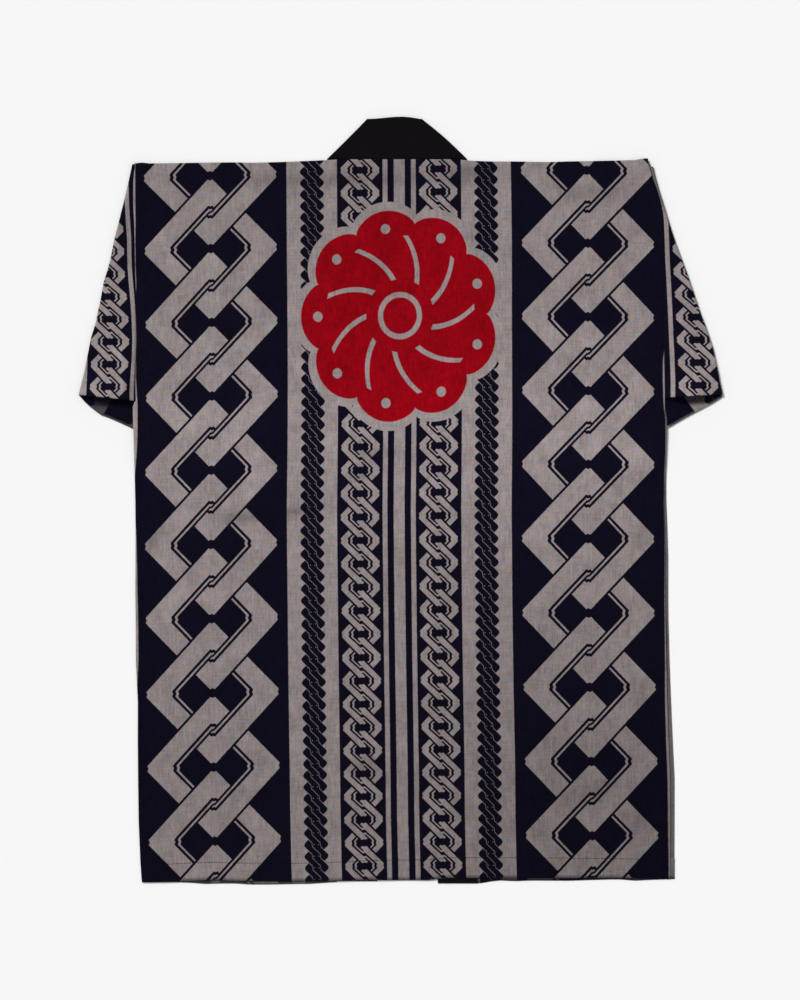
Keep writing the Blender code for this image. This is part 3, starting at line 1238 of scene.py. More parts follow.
@dataclass(frozen=True)
class PrintedCotton:
    """Plain-weave cotton, resist-dyed navy on grey, with a red ornament."""

    navy: Colour = (0.0034, 0.0027, 0.0092)
    grey: Colour = (0.252, 0.214, 0.214)
    warm: Colour = (1.16, 1.0, 0.84)
    cool: Colour = (0.84, 1.0, 1.16)
    moss: Colour = (0.93, 1.07, 0.93)
    plum: Colour = (1.07, 0.93, 1.07)
    red: Colour = (0.236, 0.0006, 0.0050)
    roughness: float = 0.88
    thread: float = 0.43 * MM
    relief: float = 0.12 * MM
    dye_edge: float = 0.7 * MM
    wander: float = 0.7 * MM
    wander_across: Grain = Grain(220.0, 220.0, 0.0)
    wander_down: Grain = Grain(220.0, 220.0, 660.0)
    drift: Grain = Grain(160.0, 160.0, 1760.0, 1.0)
    drift_turn: float = 14.0
    weave_relief: float = 0.6
    slub_down: Grain = Grain(900.0, 45.0, 0.0)
    slub_down_shade: float = 0.8
    slub_across: Grain = Grain(45.0, 900.0, 5.0)
    slub_across_shade: float = 0.5
    slub_relief: float = 0.4
    wash: Grain = Grain(9.0, 9.0, 81.0, 3.0)
    wash_shade: float = 0.14
    wash_roughness: float = 0.1
    # Partly painted shade of small wrinkles, partly uneven dye
    mottle_and_wrinkle_shade: Grain = Grain(38.0, 22.8, 76.0, 4.0, 0.95)
    mottle_and_wrinkle_shade_depth: float = 1.2
    tint: Grain = Grain(190.0, 133.0, 1330.0, 1.0, 0.9)
    tint_spread: float = 1.6
    hue: Grain = Grain(260.0, 208.0, 1040.0, 1.0, 0.9)
    hue_spread: float = 2.2
    sheen: float = 0.02
    sheen_roughness: float = 0.5
    specular: float = 0.03
    # How far painted shade and the wrong side darken the pale parts
    shade_and_wrong_side_depth: float = 0.72
    # Painted fall of light: a lighter band across the cloth, darker towards the hem, the right and the top
    bright_place: float = 0.22
    bright_width: float = 0.09
    bright_lift: float = 0.13
    low_place: float = 0.49
    low_width: float = 0.3
    low_depth: float = 0.16
    right_place: float = 0.07
    right_width: float = 0.2
    right_depth: float = 0.17
    top_place: float = -0.03
    top_width: float = 0.16
    top_depth: float = 0.09

    def dress(self) -> bpy.types.Material:
        """Make the material.

        Returns:
            The material.
        """
        bench = Bench("printed_cotton")
        raw_across, raw_down = bench.chart()
        across = raw_across + self.wander_across.draw(bench, raw_across, raw_down) * self.wander
        down = raw_down + self.wander_down.draw(bench, raw_down, raw_across) * self.wander
        red, ground = ROSETTE.draw(bench, across, down, self.dye_edge)
        marked = ORNAMENT.read(bench)
        pale = bench.most(self.pattern(bench, across, down), ground * marked)
        # Painted shade and the darker wrong side dim the pale parts; a painted highlight and wear lift them
        # at an edge
        pale = bench.most(pale * (1 - SHADE_AND_WRONG_SIDE.read(bench) * self.shade_and_wrong_side_depth), EDGE_HIGHLIGHT_AND_WEAR.read(bench))
        colour = bench.colour_mix(self.navy, self.grey, pale)
        colour = bench.colour_mix(colour, self.red, red * marked)
        tint = self.tint.draw(bench, raw_across, raw_down) * self.tint_spread
        hue = self.hue.draw(bench, raw_across, raw_down) * self.hue_spread
        colour = bench.tint(colour, bench.colour_mix(self.cool, self.warm, 0.5 + tint))
        colour = bench.tint(colour, bench.colour_mix(self.moss, self.plum, 0.5 + hue))
        slub_down = self.slub_down.draw(bench, raw_across, raw_down)
        slub_across = self.slub_across.draw(bench, raw_across, raw_down)
        wash = self.wash.draw(bench, raw_across, raw_down)
        shade = 1.0 + slub_down * self.slub_down_shade + slub_across * self.slub_across_shade
        # Painted shade of small wrinkles, mixed with uneven dye
        shade = shade + self.mottle_and_wrinkle_shade.draw(bench, raw_across, raw_down) * self.mottle_and_wrinkle_shade_depth
        # Painted fall of light over the cloth
        shade = (shade + wash * self.wash_shade) * self.light_falloff(bench, raw_across, raw_down)
        colour = bench.scale_colour(colour, shade)
        height = self.weave(bench, raw_across, raw_down) * self.weave_relief
        height = height + (slub_down + slub_across) * self.slub_relief
        roughness = self.roughness + wash * self.wash_roughness
        return bench.finish(colour, roughness, height, self)

    def light_falloff(self, bench: Bench, across: Wire, down: Wire) -> Wire:
        """Paint the fall of light on the cloth: lighter in a band across its upper middle, darker towards
        its hem and more so on its right, and darker at its top.

        Args:
            bench: The material being made.
            across: Distance from the pattern's middle.
            down: Distance down the cloth.

        Returns:
            A factor for its colour.
        """
        away = (down - self.bright_place) / self.bright_width
        folded = bench.maths("EXPONENT", -(away * away)) * self.bright_lift
        low = bench.soft(down - self.low_place, self.low_width)
        right = bench.soft(across - self.right_place, self.right_width)
        top = bench.soft(self.top_place - down, self.top_width)
        return 1.0 + folded - low * (self.low_depth + right * self.right_depth) - top * self.top_depth

    def weave(self, bench: Bench, across: Wire, down: Wire) -> Wire:
        """Raise the threads of a plain weave, unevenly spaced.

        Args:
            bench: The material being made.
            across: Distance from the pattern's middle.
            down: Distance down the cloth.

        Returns:
            The relief, from 0 to 1.
        """
        turn = math.pi / self.thread
        drift = self.drift.draw(bench, across, down) * self.drift_turn
        warp = bench.maths("SINE", across * turn + drift)
        weft = bench.maths("SINE", down * turn - drift)
        return 0.5 + 0.5 * (warp * weft)

    def pattern(self, bench: Bench, across: Wire, down: Wire) -> Wire:
        """Draw the dyed pattern, which repeats on both sides of its middle.

        Args:
            bench: The material being made.
            across: Distance from the pattern's middle.
            down: Distance down the cloth.

        Returns:
            A mask, 1 on the pale parts.
        """
        side = abs(across)
        sign = bench.maths("SIGN", across)
        pale = bench.band(side, STRIPES[0].start * MM, STRIPES[0].end * MM, self.dye_edge)
        for stripe in STRIPES[1:]:
            pale = bench.most(pale, bench.band(side, stripe.start * MM, stripe.end * MM, self.dye_edge))
        for chain in (LARGE_CHAIN, SMALL_CHAIN):
            drawn = chain.draw(bench, across - sign * chain.centre, down, self.dye_edge)
            reach = chain.half_width + chain.gap
            column = bench.band(side, chain.centre - reach, chain.centre + reach, self.dye_edge)
            pale = bench.most(pale, drawn * column)
        return pale * (1 - ROPE.draw(bench, across - sign * ROPE.centre, down, self.dye_edge))


@dataclass(frozen=True)
class BandCotton:
    """Black plain-weave cotton of the collar band."""

    black: Colour = (0.0024, 0.0017, 0.0026)
    bloom: Colour = (0.0053, 0.0042, 0.0056)
    roughness: float = 0.86
    thread: float = 0.7 * MM
    relief: float = 0.12 * MM
    weave_relief: float = 0.3
    slub: Grain = Grain(60.0, 800.0, 0.0)
    slub_relief: float = 0.4
    slub_bloom: float = 0.6
    wash: Grain = Grain(14.0, 14.0, 0.0, 3.0)
    wash_bloom: float = 0.5
    wash_roughness: float = 0.1
    mean_bloom: float = 0.35
    sheen: float = 0.02
    sheen_roughness: float = 0.5
    specular: float = 0.05

    def dress(self) -> bpy.types.Material:
        """Make the material.

        Returns:
            The material.
        """
        bench = Bench("black_cotton")
        across, down = bench.chart()
        turn = math.pi / self.thread
        weave = bench.maths("SINE", across * turn) * bench.maths("SINE", down * turn)
        slub = self.slub.draw(bench, across, down)
        wash = self.wash.draw(bench, across, down)
        bloom = self.mean_bloom + slub * self.slub_bloom + wash * self.wash_bloom
        colour = bench.colour_mix(self.black, self.bloom, bloom)
        height = 0.5 + weave * self.weave_relief + slub * self.slub_relief
        roughness = self.roughness + wash * self.wash_roughness
        return bench.finish(colour, roughness, height, self)


@dataclass(frozen=True)
class Thread:
    """Twisted dark sewing thread."""

    dark: Colour = (0.0026, 0.0020, 0.0050)
    light: Colour = (0.0040, 0.0032, 0.0070)
    roughness: float = 0.7
    twists_per_metre: float = 2500.0
    twist_roughness: float = 0.2
    relief: float = 0.05 * MM
    sheen: float = 0.0
    sheen_roughness: float = 0.5
    specular: float = 0.03

    def dress(self) -> bpy.types.Material:
        """Make the material.

        Returns:
            The material.
        """
        bench = Bench("sewing_thread")
        places = bench.wire(bench.node("ShaderNodeTexCoord"), "Object")
        twist = bench.noise(places, self.twists_per_metre)
        colour = bench.colour_mix(self.dark, self.light, 0.5 + twist)
        return bench.finish(colour, self.roughness + twist * self.twist_roughness, 0.5 + twist, self)


NECK_Y = 402.3 * MM
BAND_WIDTH = 47.2 * MM
BAND_CROWN = 2.6 * MM
BAND_CROWN_LEAN = 1.5


@dataclass(frozen=True)
class NeckFold:
    """Slanting fold of the band at one side of the neck, and the front edge it comes up."""

    side: int
    seam_end: Vector
    tip: Vector
    hem: Vector
    bow: float

    def seam_x(self, y: float) -> float:
        """Where the band meets its front at a height."""
        return mix(self.hem.x, self.seam_end.x, (y - self.hem.y) / (NECK_Y - self.hem.y))

    @property
    def away(self) -> Vector:
        """The level direction that points out of the fold."""
        run = self.tip - self.seam_end
        return Vector((run.y, -run.x)).normalized() * self.side

    def edge(self, share: float) -> Vector:
        """The outermost point of the fold at a share of the band's width, bowed between its ends."""
        return self.seam_end.lerp(self.tip, share) + self.away * (self.bow * math.sin(math.pi * share))

    def leg_end(self, share: float) -> Vector:
        """Where the band coming up a front reaches its fold, at a share of its width."""
        return self.edge(share) - Vector((0.0, BAND_REACH / self.away.y))

    def neck_end(self, share: float) -> Vector:
        """Where the band along the back of the neck reaches its fold, at a share of its width."""
        return self.edge(share) - Vector((BAND_REACH / self.away.x, 0.0))


LEFT_NECK = NeckFold(
    side=-1,
    seam_end=Vector((-87.9 * MM, NECK_Y)),
    tip=Vector((-40.7 * MM, NECK_Y + BAND_WIDTH)),
    hem=Vector((-76.0, -449.6)) * MM,
    bow=-0.3 * MM,
)
RIGHT_NECK = NeckFold(
    side=1,
    seam_end=Vector((77.3 * MM, NECK_Y)),
    tip=Vector((24.0 * MM, NECK_Y + BAND_WIDTH)),
    hem=Vector((90.0, -452.2)) * MM,
    bow=1.4 * MM,
)


def body_level(x: float, down: float, hem: Edge) -> Vector:
    """Level place of a point of the body, a share of the way down from the shoulder line."""
    return Vector((x, mix(read(ENDS, x, "shoulder"), read(ENDS, x, hem.value), down)))


@dataclass
class Sleeve:
    """A flattened sleeve, folded at a slant and tucked under the body."""

    node: str
    side: int
    edge: Edge
    fold_rows: tuple[FoldRow, ...]
    stripe_rows: tuple[StripeRow, ...]
    top: float
    underarm: float
    cuff_top: Vector
    cuff_bottom: Vector
    belly: tuple[BellyRow, ...]
    link_start: float
    link_period: float
    under_shift: Cut
    # Painted shade of the part tucked under, deep below the upper layer and near its edge, and of the top
    # end
    shade: float
    deep_shade: float
    edge_shade: float
    # Painted highlight along the lower edge of the part tucked under
    edge_highlight_and_wear: float
    flare_at_fold: float
    creases: tuple[SoftMark, ...]
    top_shade: float = 0.0
    flare: float = 9.0 * MM

    def armhole(self, share: float) -> Vector:
        """Find where the sleeve meets the side of the body.

        Args:
            share: Share of the sleeve's depth, from its top.

        Returns:
            The level place.
        """
        y = mix(self.top, self.underarm, share)
        down = (BODY_TOP - y) / (BODY_TOP - BODY_END)
        x = read(SIDES, y, self.edge.value)
        return body_level(x, down, Edge.HEM) + Vector((self.side * GAP, 0.0))

    def fold(self, share: float) -> Vector:
        """The outermost point of the folded edge, at a share of the sleeve's depth."""
        y = mix(self.fold_rows[-1].y, self.fold_rows[0].y, share) * MM
        return Vector((read(self.fold_rows, y, "x"), y))

    @property
    def outward(self) -> Vector:
        """The level direction that points out of the folded edge."""
        run = self.fold(1.0) - self.fold(0.0)
        return Vector((-run.y, run.x)).normalized() * self.side

    def patch(self) -> tuple[Vector, ...]:
        """The corners of the part that lies under the body, going round."""
        return (self.fold(0.0), self.cuff_top, self.cuff_bottom, self.fold(1.0))

    def section(self, step: int) -> tuple[float, float, float]:
        """Go round the flattened sleeve from the middle of its lower edge.

        Args:
            step: Steps round, first along the underside and then back along the top.

        Returns:
            Share of the depth, height from the sleeve's middle, and overhang past its edges.
        """
        half = TURN_STEPS // 2
        if step <= half:
            angle = math.pi / 2 * step / half
            return 1.0, -TURN_RADIUS * math.sin(angle), -TURN_RADIUS * math.cos(angle)
        step -= half
        if step <= SLEEVE_ROWS:
            return 1 - (step / SLEEVE_ROWS) ** ROW_CROWDING, -TURN_RADIUS, 0.0
        step -= SLEEVE_ROWS
        if step <= TURN_STEPS:
            angle = math.pi * step / TURN_STEPS
            return 0.0, -TURN_RADIUS * math.cos(angle), TURN_RADIUS * math.sin(angle)
        step -= TURN_STEPS
        if step <= SLEEVE_ROWS:
            return 1 - (1 - step / SLEEVE_ROWS) ** ROW_CROWDING, TURN_RADIUS, 0.0
        angle = math.pi / 2 * (step - SLEEVE_ROWS) / half
        return 1.0, TURN_RADIUS * math.cos(angle), -TURN_RADIUS * math.sin(angle)

    def place(self, station: int, step: int) -> Vector:
        """Lay a point: out from the armhole, round the fold, and in under the body.

        Args:
            station: Steps along the sleeve, from the armhole.
            step: Steps round it.

        Returns:
            The place.
        """
        share, height, overhang = self.section(step)
        past_edge = Vector((0.0, overhang))
        out = self.outward
        fold = self.fold(share) - out * FOLD_REACH
        reach = FOLD_RADIUS + height
        opening = self.flare * share**FLARE_POWER
        if station <= VISIBLE_STEPS:
            armhole = self.armhole(share)
            level = armhole.lerp(fold, station / VISIBLE_STEPS)
            roll = 1 - min((level - armhole).length / ROLL_WIDTH, 1.0)
            drop = ROLL_DROP * roll * roll * (height / TURN_RADIUS)
            lift = total_strength(self.creases, level) * MM * max(height / TURN_RADIUS, 0.0)
            rise = mix(FLARE_AT_ARMHOLE, 1.0, ease(station / FLARE_RISE_STEPS))
            fall = mix(self.flare_at_fold, 1.0, ease((VISIBLE_STEPS - station) / FLARE_FALL_STEPS))
            lift += opening * rise * fall
            level = level + past_edge
            return Vector((level.x, level.y, FOLD_AXIS + reach - drop + lift))
        station -= VISIBLE_STEPS
        if station <= FOLD_STEPS:
            angle = math.pi * station / FOLD_STEPS
            level = fold + past_edge + out * (reach * math.sin(angle))
            level.y -= self.sag(0.0, share) * (1 - math.cos(angle)) / 2
            rise = opening * self.flare_at_fold * (1 + math.cos(angle)) / 2
            return Vector((level.x, level.y, FOLD_AXIS + reach * math.cos(angle) + rise))
        inward = (station - FOLD_STEPS) / HIDDEN_STEPS
        cuff = self.cuff_top.lerp(self.cuff_bottom, share)
        level = fold.lerp(cuff, inward) + past_edge - Vector((0.0, self.sag(inward, share)))
        return Vector((level.x, level.y, FOLD_AXIS - reach))

    def cut(self, station: int, step: int) -> Cut:
        """Find the cloth coordinates of a point, unfolding the part that is tucked under.

        Args:
            station: Steps along the sleeve, from the armhole.
            step: Steps round it.

        Returns:
            Its cloth coordinates.
        """
        share, height, _ = self.section(step)
        place = self.place(station, step)
        level = Vector((place.x, place.y))
        if station > VISIBLE_STEPS + FOLD_STEPS // 2:
            start = self.fold(0.0)
            run = (self.fold(1.0) - start).normalized()
            foot = start + run * (level - start).dot(run)
            level = foot * 2 - level
        stripe = read(self.stripe_rows, level.y, "stripe")
        chain = read(self.stripe_rows, level.y, "chain")
        narrow = (STRIPES[1].start + STRIPES[1].end) / 2 * MM
        out = (SMALL_CHAIN.centre - narrow) * (stripe - level.x) / (stripe - chain)
        out += narrow + min(max(out, -NARROWED), NARROWED) * NARROWING
        down = (self.link_start - level.y) / self.link_period * SMALL_CHAIN.period + SMALL_CHAIN.start
        if height < 0:
            top = (self.link_start - self.fold(0.0).y) / self.link_period * SMALL_CHAIN.period
            down = 2 * (top + SMALL_CHAIN.start) - down + self.under_shift.down * share
            out += self.under_shift.across * share
        return Cut(self.side * out, down)

    def sag(self, inward: float, share: float) -> float:
        """How far the part tucked under hangs below a straight line, at a share of its depth."""
        places, depths = zip(*self.belly)
        return follow(places, depths, inward) * MM * share**SAG_POWER

    def shade_and_wrong_side_at(self, point: bpy.types.MeshVertex) -> float:
        """Paint shade on the top end, and on the part tucked under where it lies deep below the upper
        layer.

        Args:
            point: A point of the sleeve.

        Returns:
            The share of painted shade there.
        """
        if point.co.z > FOLD_AXIS:
            return self.top_shade * ease((point.co.y - SHADE_TOP) / SHADE_TOP_WIDTH)
        armhole = self.armhole(1.0)
        fold = self.fold(1.0)
        hem = mix(fold.y, armhole.y, (fold.x - point.co.x) / (fold.x - armhole.x))
        deep = ease((self.shade + SHADE_SOFTNESS / 2 - (hem - point.co.y)) / SHADE_SOFTNESS)
        return mix(self.edge_shade, self.deep_shade, deep)

    def edge_highlight_at(self, point: bpy.types.MeshVertex) -> float:
        """Paint a highlight along the lower edge of the part tucked under, where the edge catches light.

        Args:
            point: A point of the sleeve.

        Returns:
            The share of painted highlight there.
        """
        if point.co.z > FOLD_AXIS:
            return 0.0
        fold = self.fold(1.0)
        inward = (fold.x - point.co.x) / (fold.x - self.cuff_bottom.x)
        edge = mix(fold.y, self.cuff_bottom.y, inward) - self.sag(max(inward, 0.0), 1.0)
        return self.edge_highlight_and_wear * (1 - ease((point.co.y - edge - HIGHLIGHT_WIDTH) / HIGHLIGHT_WIDTH))

    def build(self, cotton: bpy.types.Material) -> bpy.types.Object:
        """Make the sleeve.

        Args:
            cotton: Its material.

        Returns:
            The piece.
        """
        around = 2 * (SLEEVE_ROWS + TURN_STEPS)
        along = VISIBLE_STEPS + FOLD_STEPS + HIDDEN_STEPS
        piece = lay_cloth(f"{self.node}_cloth", (along, around), self.place, self.cut, CLOTH)
        # Painted shade of the part tucked under and of the top end
        SHADE_AND_WRONG_SIDE.write(piece, self.shade_and_wrong_side_at)
        # Painted highlight along the edge of the part tucked under
        EDGE_HIGHLIGHT_AND_WEAR.write(piece, self.edge_highlight_at)
        piece.data.materials.append(cotton)
        return piece


SLEEVES = (
    Sleeve(
        node="sleeve_left",
        side=-1,
        edge=Edge.LEFT,
        fold_rows=table(
            FoldRow,
            (125.4, -380.6),
            (151.7, -374.2),
            (172.3, -370.1),
            (192.3, -366.1),
            (210.0, -360.5),
            (224.0, -358.0),
            (232.6, -355.7),
            (257.9, -351.2),
            (271.0, -346.9),
            (283.2, -343.5),
            (306.0, -339.1),
            (328.7, -333.3),
            (351.6, -327.6),
            (374.2, -322.3),
            (395.3, -317.8),
        ),
        stripe_rows=table(
            StripeRow,
            (127.4, -318.1, -346.1),
            (141.6, -317.5, -345.5),
            (165.2, -315.7, -344.3),
            (188.8, -314.9, -344.0),
            (212.4, -315.7, -344.6),
            (236.0, -317.3, -346.6),
            (253.7, -318.9, -348.4),
            (271.4, -320.3, -349.4),
            (289.1, -321.0, -349.4),
            (306.8, -321.0, -349.8),
            (330.4, -322.7, -351.4),
            (354.0, -324.0, -353.0),
            (380.0, -324.3, -353.4),
        ),
        top=402.0 * MM,
        underarm=121.7 * MM,
        cuff_top=Vector((-71.4, 272.6)) * MM,
        cuff_bottom=Vector((-187.0, 26.3)) * MM,
        belly=table(
            BellyRow,
            (0.0, 2.2),
            (0.029, 6.2),
            (0.06, 8.4),
            (0.097, 10.1),
            (0.12, 11.4),
            (0.164, 9.9),
            (0.243, 8.7),
            (0.32, 7.9),
            (1.0, 0.0),
        ),
        link_start=293.1 * MM,
        link_period=26.63 * MM,
        under_shift=Cut(11.0 * MM, -37.3 * MM),
        shade=12.5 * MM,
        deep_shade=1.33,
        edge_shade=1.05,
        edge_highlight_and_wear=0.22,
        flare_at_fold=0.6,
        creases=table(
            SoftMark,
            (-323.0, 372.0, 70.0, 34.0, 4.0, 0.5),
            (-342.0, 226.0, 64.0, 70.0, 7.0, 0.5),
            (-348.0, 150.0, 20.0, 50.0, 7.0, 0.4),
        ),
    ),
    Sleeve(
        node="sleeve_right",
        side=1,
        edge=Edge.RIGHT,
        fold_rows=table(
            FoldRow,
            (126.3, 379.0),
            (141.6, 375.4),
            (151.0, 373.8),
            (165.0, 370.8),
            (181.0, 367.2),
            (190.0, 364.2),
            (205.0, 359.1),
            (220.0, 353.0),
            (227.7, 350.5),
            (265.0, 337.8),
            (304.4, 323.1),
            (322.1, 317.2),
            (346.9, 309.9),
            (365.8, 303.8),
            (384.7, 298.6),
            (392.6, 297.0),
        ),
        stripe_rows=table(
            StripeRow,
            (125.1, 319.8, 350.3),
            (141.6, 319.9, 350.2),
            (165.2, 319.2, 349.5),
            (188.8, 318.1, 348.7),
            (236.0, 316.1, 346.8),
            (283.2, 313.6, 343.4),
            (306.8, 312.9, 342.4),
            (330.4, 312.0, 341.2),
            (342.2, 310.5, 339.6),
            (354.0, 307.5, 336.6),
            (365.8, 303.9, 333.0),
            (377.6, 299.8, 328.8),
            (392.6, 295.6, 324.6),
        ),
        top=394.6 * MM,
        underarm=120.2 * MM,
        cuff_top=Vector((37.2, 249.6)) * MM,
        cuff_bottom=Vector((192.9, 19.5)) * MM,
        belly=table(
            BellyRow,
            (0.0, 4.2),
            (0.037, 4.8),
            (0.068, 4.7),
            (0.106, 4.5),
            (0.144, 4.1),
            (0.215, 3.5),
            (0.28, 3.4),
            (0.344, 3.4),
            (1.0, 0.0),
        ),
        link_start=296.2 * MM,
        link_period=26.85 * MM,
        under_shift=Cut(20.0 * MM, 26.7 * MM),
        shade=11.3 * MM,
        deep_shade=1.1,
        edge_shade=0.1,
        edge_highlight_and_wear=0.34,
        flare_at_fold=0.1,
        top_shade=0.6,
        creases=table(
            SoftMark,
            (336.0, 236.0, -66.0, 80.0, 7.0, 0.5),
            (346.0, 160.0, -10.0, 56.0, 8.0, 0.5),
            (318.0, 330.0, -70.0, 50.0, 5.0, 0.4),
        ),
    ),
)


def floor_height(point: Vector) -> float:
    """Underside of what lies on the floor or over a folded sleeve."""
    away = min(distance_outside(sleeve.patch(), point) for sleeve in SLEEVES)
    return SLEEVE_LIFT * (1 - ease((away - LIFT_MARGIN) / LIFT_SLOPE))


def back_height(point: Vector) -> float:
    """Find the underside of the back: over the fronts and the thicker band, sagging in the opening.

    Args:
        point: The level place.

    Returns:
        The height there.
    """
    left_seam = LEFT_NECK.seam_x(point.y)
    right_seam = RIGHT_NECK.seam_x(point.y)
    beside = max(left_seam - point.x, point.x - right_seam, 0.0)
    band_share = 1 - ease(beside / BAND_SLOPE)
    opening_start = left_seam + BAND_WIDTH
    opening_end = right_seam - BAND_WIDTH
    across = (point.x - opening_start) / (opening_end - opening_start)
    hollow = math.sin(math.pi * min(max(across, 0.0), 1.0)) * ease((NECK_Y - point.y) / SAG_START)
    return floor_height(point) + LAYER + BAND_RISE * band_share - OPENING_SAG * hollow


@dataclass
class Panel:
    """The back or a front: cloth from the shoulder line to a turned-in hem."""

    node: str
    face: int
    left: Callable[[float], float]
    right: Callable[[float], float]
    hem: Edge
    columns: int
    creases: tuple[SoftMark, ...]
    rolled_left: bool = True
    rolled_right: bool = True
    ornament: float = 0.0
    # Painted shade along soft dark marks
    shade_marks: tuple[SoftMark, ...] = ()
    # The wrong side of the cloth, darker, partly as painted shade under the back's edge
    wrong_side_and_shade: float = 0.0
    # Painted shade at the turn of the hem
    hem_shade: float = 1.0
    hem_wear: float = 0.0

    def __post_init__(self) -> None:
        """Share out the grid's lines."""
        width = self.right(0.0) - self.left(0.0)
        self.shares = spread(self.columns, width, EDGE_DISTANCES)
        self.downs = spread(BODY_ROWS, BODY_TOP - BODY_END, EDGE_DISTANCES, far_margin=False)

    def middle_height(self, point: Vector) -> float:
        """Find the middle of the cloth.

        Args:
            point: The level place.

        Returns:
            The height there.
        """
        lift = total_strength(self.creases, point) * MM
        if self.face > 0:
            return back_height(point) + WALL - CLOTH / 2 + lift
        return floor_height(point) + CLOTH / 2 + max(lift, 0.0)

    def level(self, column: int, row: int) -> tuple[Vector, float]:
        """Find where a point of the grid lies, seen from above.

        Args:
            column: Steps from the left edge.
            row: Steps from the shoulder line.

        Returns:
            Its level place, and its distance from the nearest seam edge.
        """
        down = self.downs[min(row, BODY_ROWS)]
        y = mix(BODY_TOP, BODY_END, down)
        left = self.left(y)
        right = self.right(y)
        x = mix(left, right, self.shares[column])
        point = body_level(x, down, self.hem)
        near = BODY_TOP - y
        if self.rolled_left:
            near = min(near, x - left)
        if self.rolled_right:
            near = min(near, right - x)
        return point, near

    def place(self, column: int, row: int) -> Vector:
        """Lay a point of the panel, its last rows round the hem and inside it.

        Args:
            column: Steps from the left edge.
            row: Steps from the shoulder line.

        Returns:
            The place.
        """
        point, near = self.level(column, row)
        roll = 1 - min(near / ROLL_WIDTH, 1.0)
        height = self.middle_height(point) - self.face * ROLL_DROP * roll * roll
        if row <= BODY_ROWS:
            return Vector((point.x, point.y, height))
        row -= BODY_ROWS
        turn = math.pi * min(row / HEM_TURN_STEPS, 1.0)
        inward = HEM_DEPTH * max(row - HEM_TURN_STEPS, 0) / HEM_INNER_STEPS
        y = point.y - HEM_RADIUS * math.sin(turn) + inward
        drop = self.face * HEM_RADIUS * (1 - math.cos(turn))
        inner = Vector((point.x, y))
        return Vector((point.x, y, self.middle_height(inner) - drop - self.face * ROLL_DROP * roll * roll))

    def cut(self, column: int, row: int) -> Cut:
        """Find the cloth coordinates of a point, with the front's continuing over the shoulder.

        Args:
            column: Steps from the left edge.
            row: Steps from the shoulder line.

        Returns:
            Its cloth coordinates.
        """
        point, _ = self.level(column, row)
        cut = body_cut(point)
        extra = max(row - BODY_ROWS, 0)
        down = cut.down + HEM_DEPTH * extra / (HEM_TURN_STEPS + HEM_INNER_STEPS)
        if self.face > 0:
            return Cut(cut.across, down)
        shoulder = body_cut(body_level(point.x, 0.0, self.hem)).down
        return Cut(cut.across, 2 * shoulder - down)

    def above_hem(self, point: bpy.types.MeshVertex) -> float:
        """Height of a point above the panel's hem, as it lies."""
        return point.co.y - read(ENDS, point.co.x, self.hem.value)

    def shade_and_wrong_side_at(self, point: bpy.types.MeshVertex) -> float:
        """Darken the wrong side of the cloth, partly as painted shade where a front shows beside the back's
        edge, and paint shade along the soft dark marks and at the turn of the hem.

        Args:
            point: A point of the panel.

        Returns:
            The share by which the print is darkened there.
        """
        at_hem = 1 - ease((self.above_hem(point) - HEM_TURN_WIDTH) / HEM_TURN_WIDTH)
        shade_and_wrong_side_share = total_strength(self.shade_marks, point.co.xy)
        if point.normal.z * self.face < 0:
            shade_and_wrong_side_share = self.wrong_side_and_shade
        return mix(shade_and_wrong_side_share, self.hem_shade, at_hem)

    def hem_path(self) -> list[Vector]:
        """Find where the hem's stitches run on the outer face.

        Returns:
            Points close together, from side to side.
        """
        path = []
        for column in range(STITCHED_FROM, self.columns + 1 - STITCHED_FROM):
            point, _ = self.level(column, BODY_ROWS)
            point = Vector((point.x, point.y + read(HEM_LINE, point.x, "inset")))
            height = self.middle_height(point) + self.face * CLOTH / 2
            path.append(Vector((point.x, point.y, max(height, STITCH_CLEARANCE))))
        return path

    def build(self, cotton: bpy.types.Material) -> bpy.types.Object:
        """Make the panel.

        Args:
            cotton: Its material.

        Returns:
            The piece.
        """
        rows = BODY_ROWS + HEM_TURN_STEPS + HEM_INNER_STEPS
        piece = lay_cloth(f"{self.node}_cloth", (self.columns, rows), self.place, self.cut, CLOTH)
        ORNAMENT.write(piece, lambda point: self.ornament)
        # Painted shade of the marks and the hem turn, and the darker wrong side, partly painted shade
        SHADE_AND_WRONG_SIDE.write(piece, self.shade_and_wrong_side_at)
        EDGE_HIGHLIGHT_AND_WEAR.write(piece, lambda point: self.hem_wear if self.above_hem(point) < HEM_WORN_WIDTH else 0.0)
        piece.data.materials.append(cotton)
        return piece


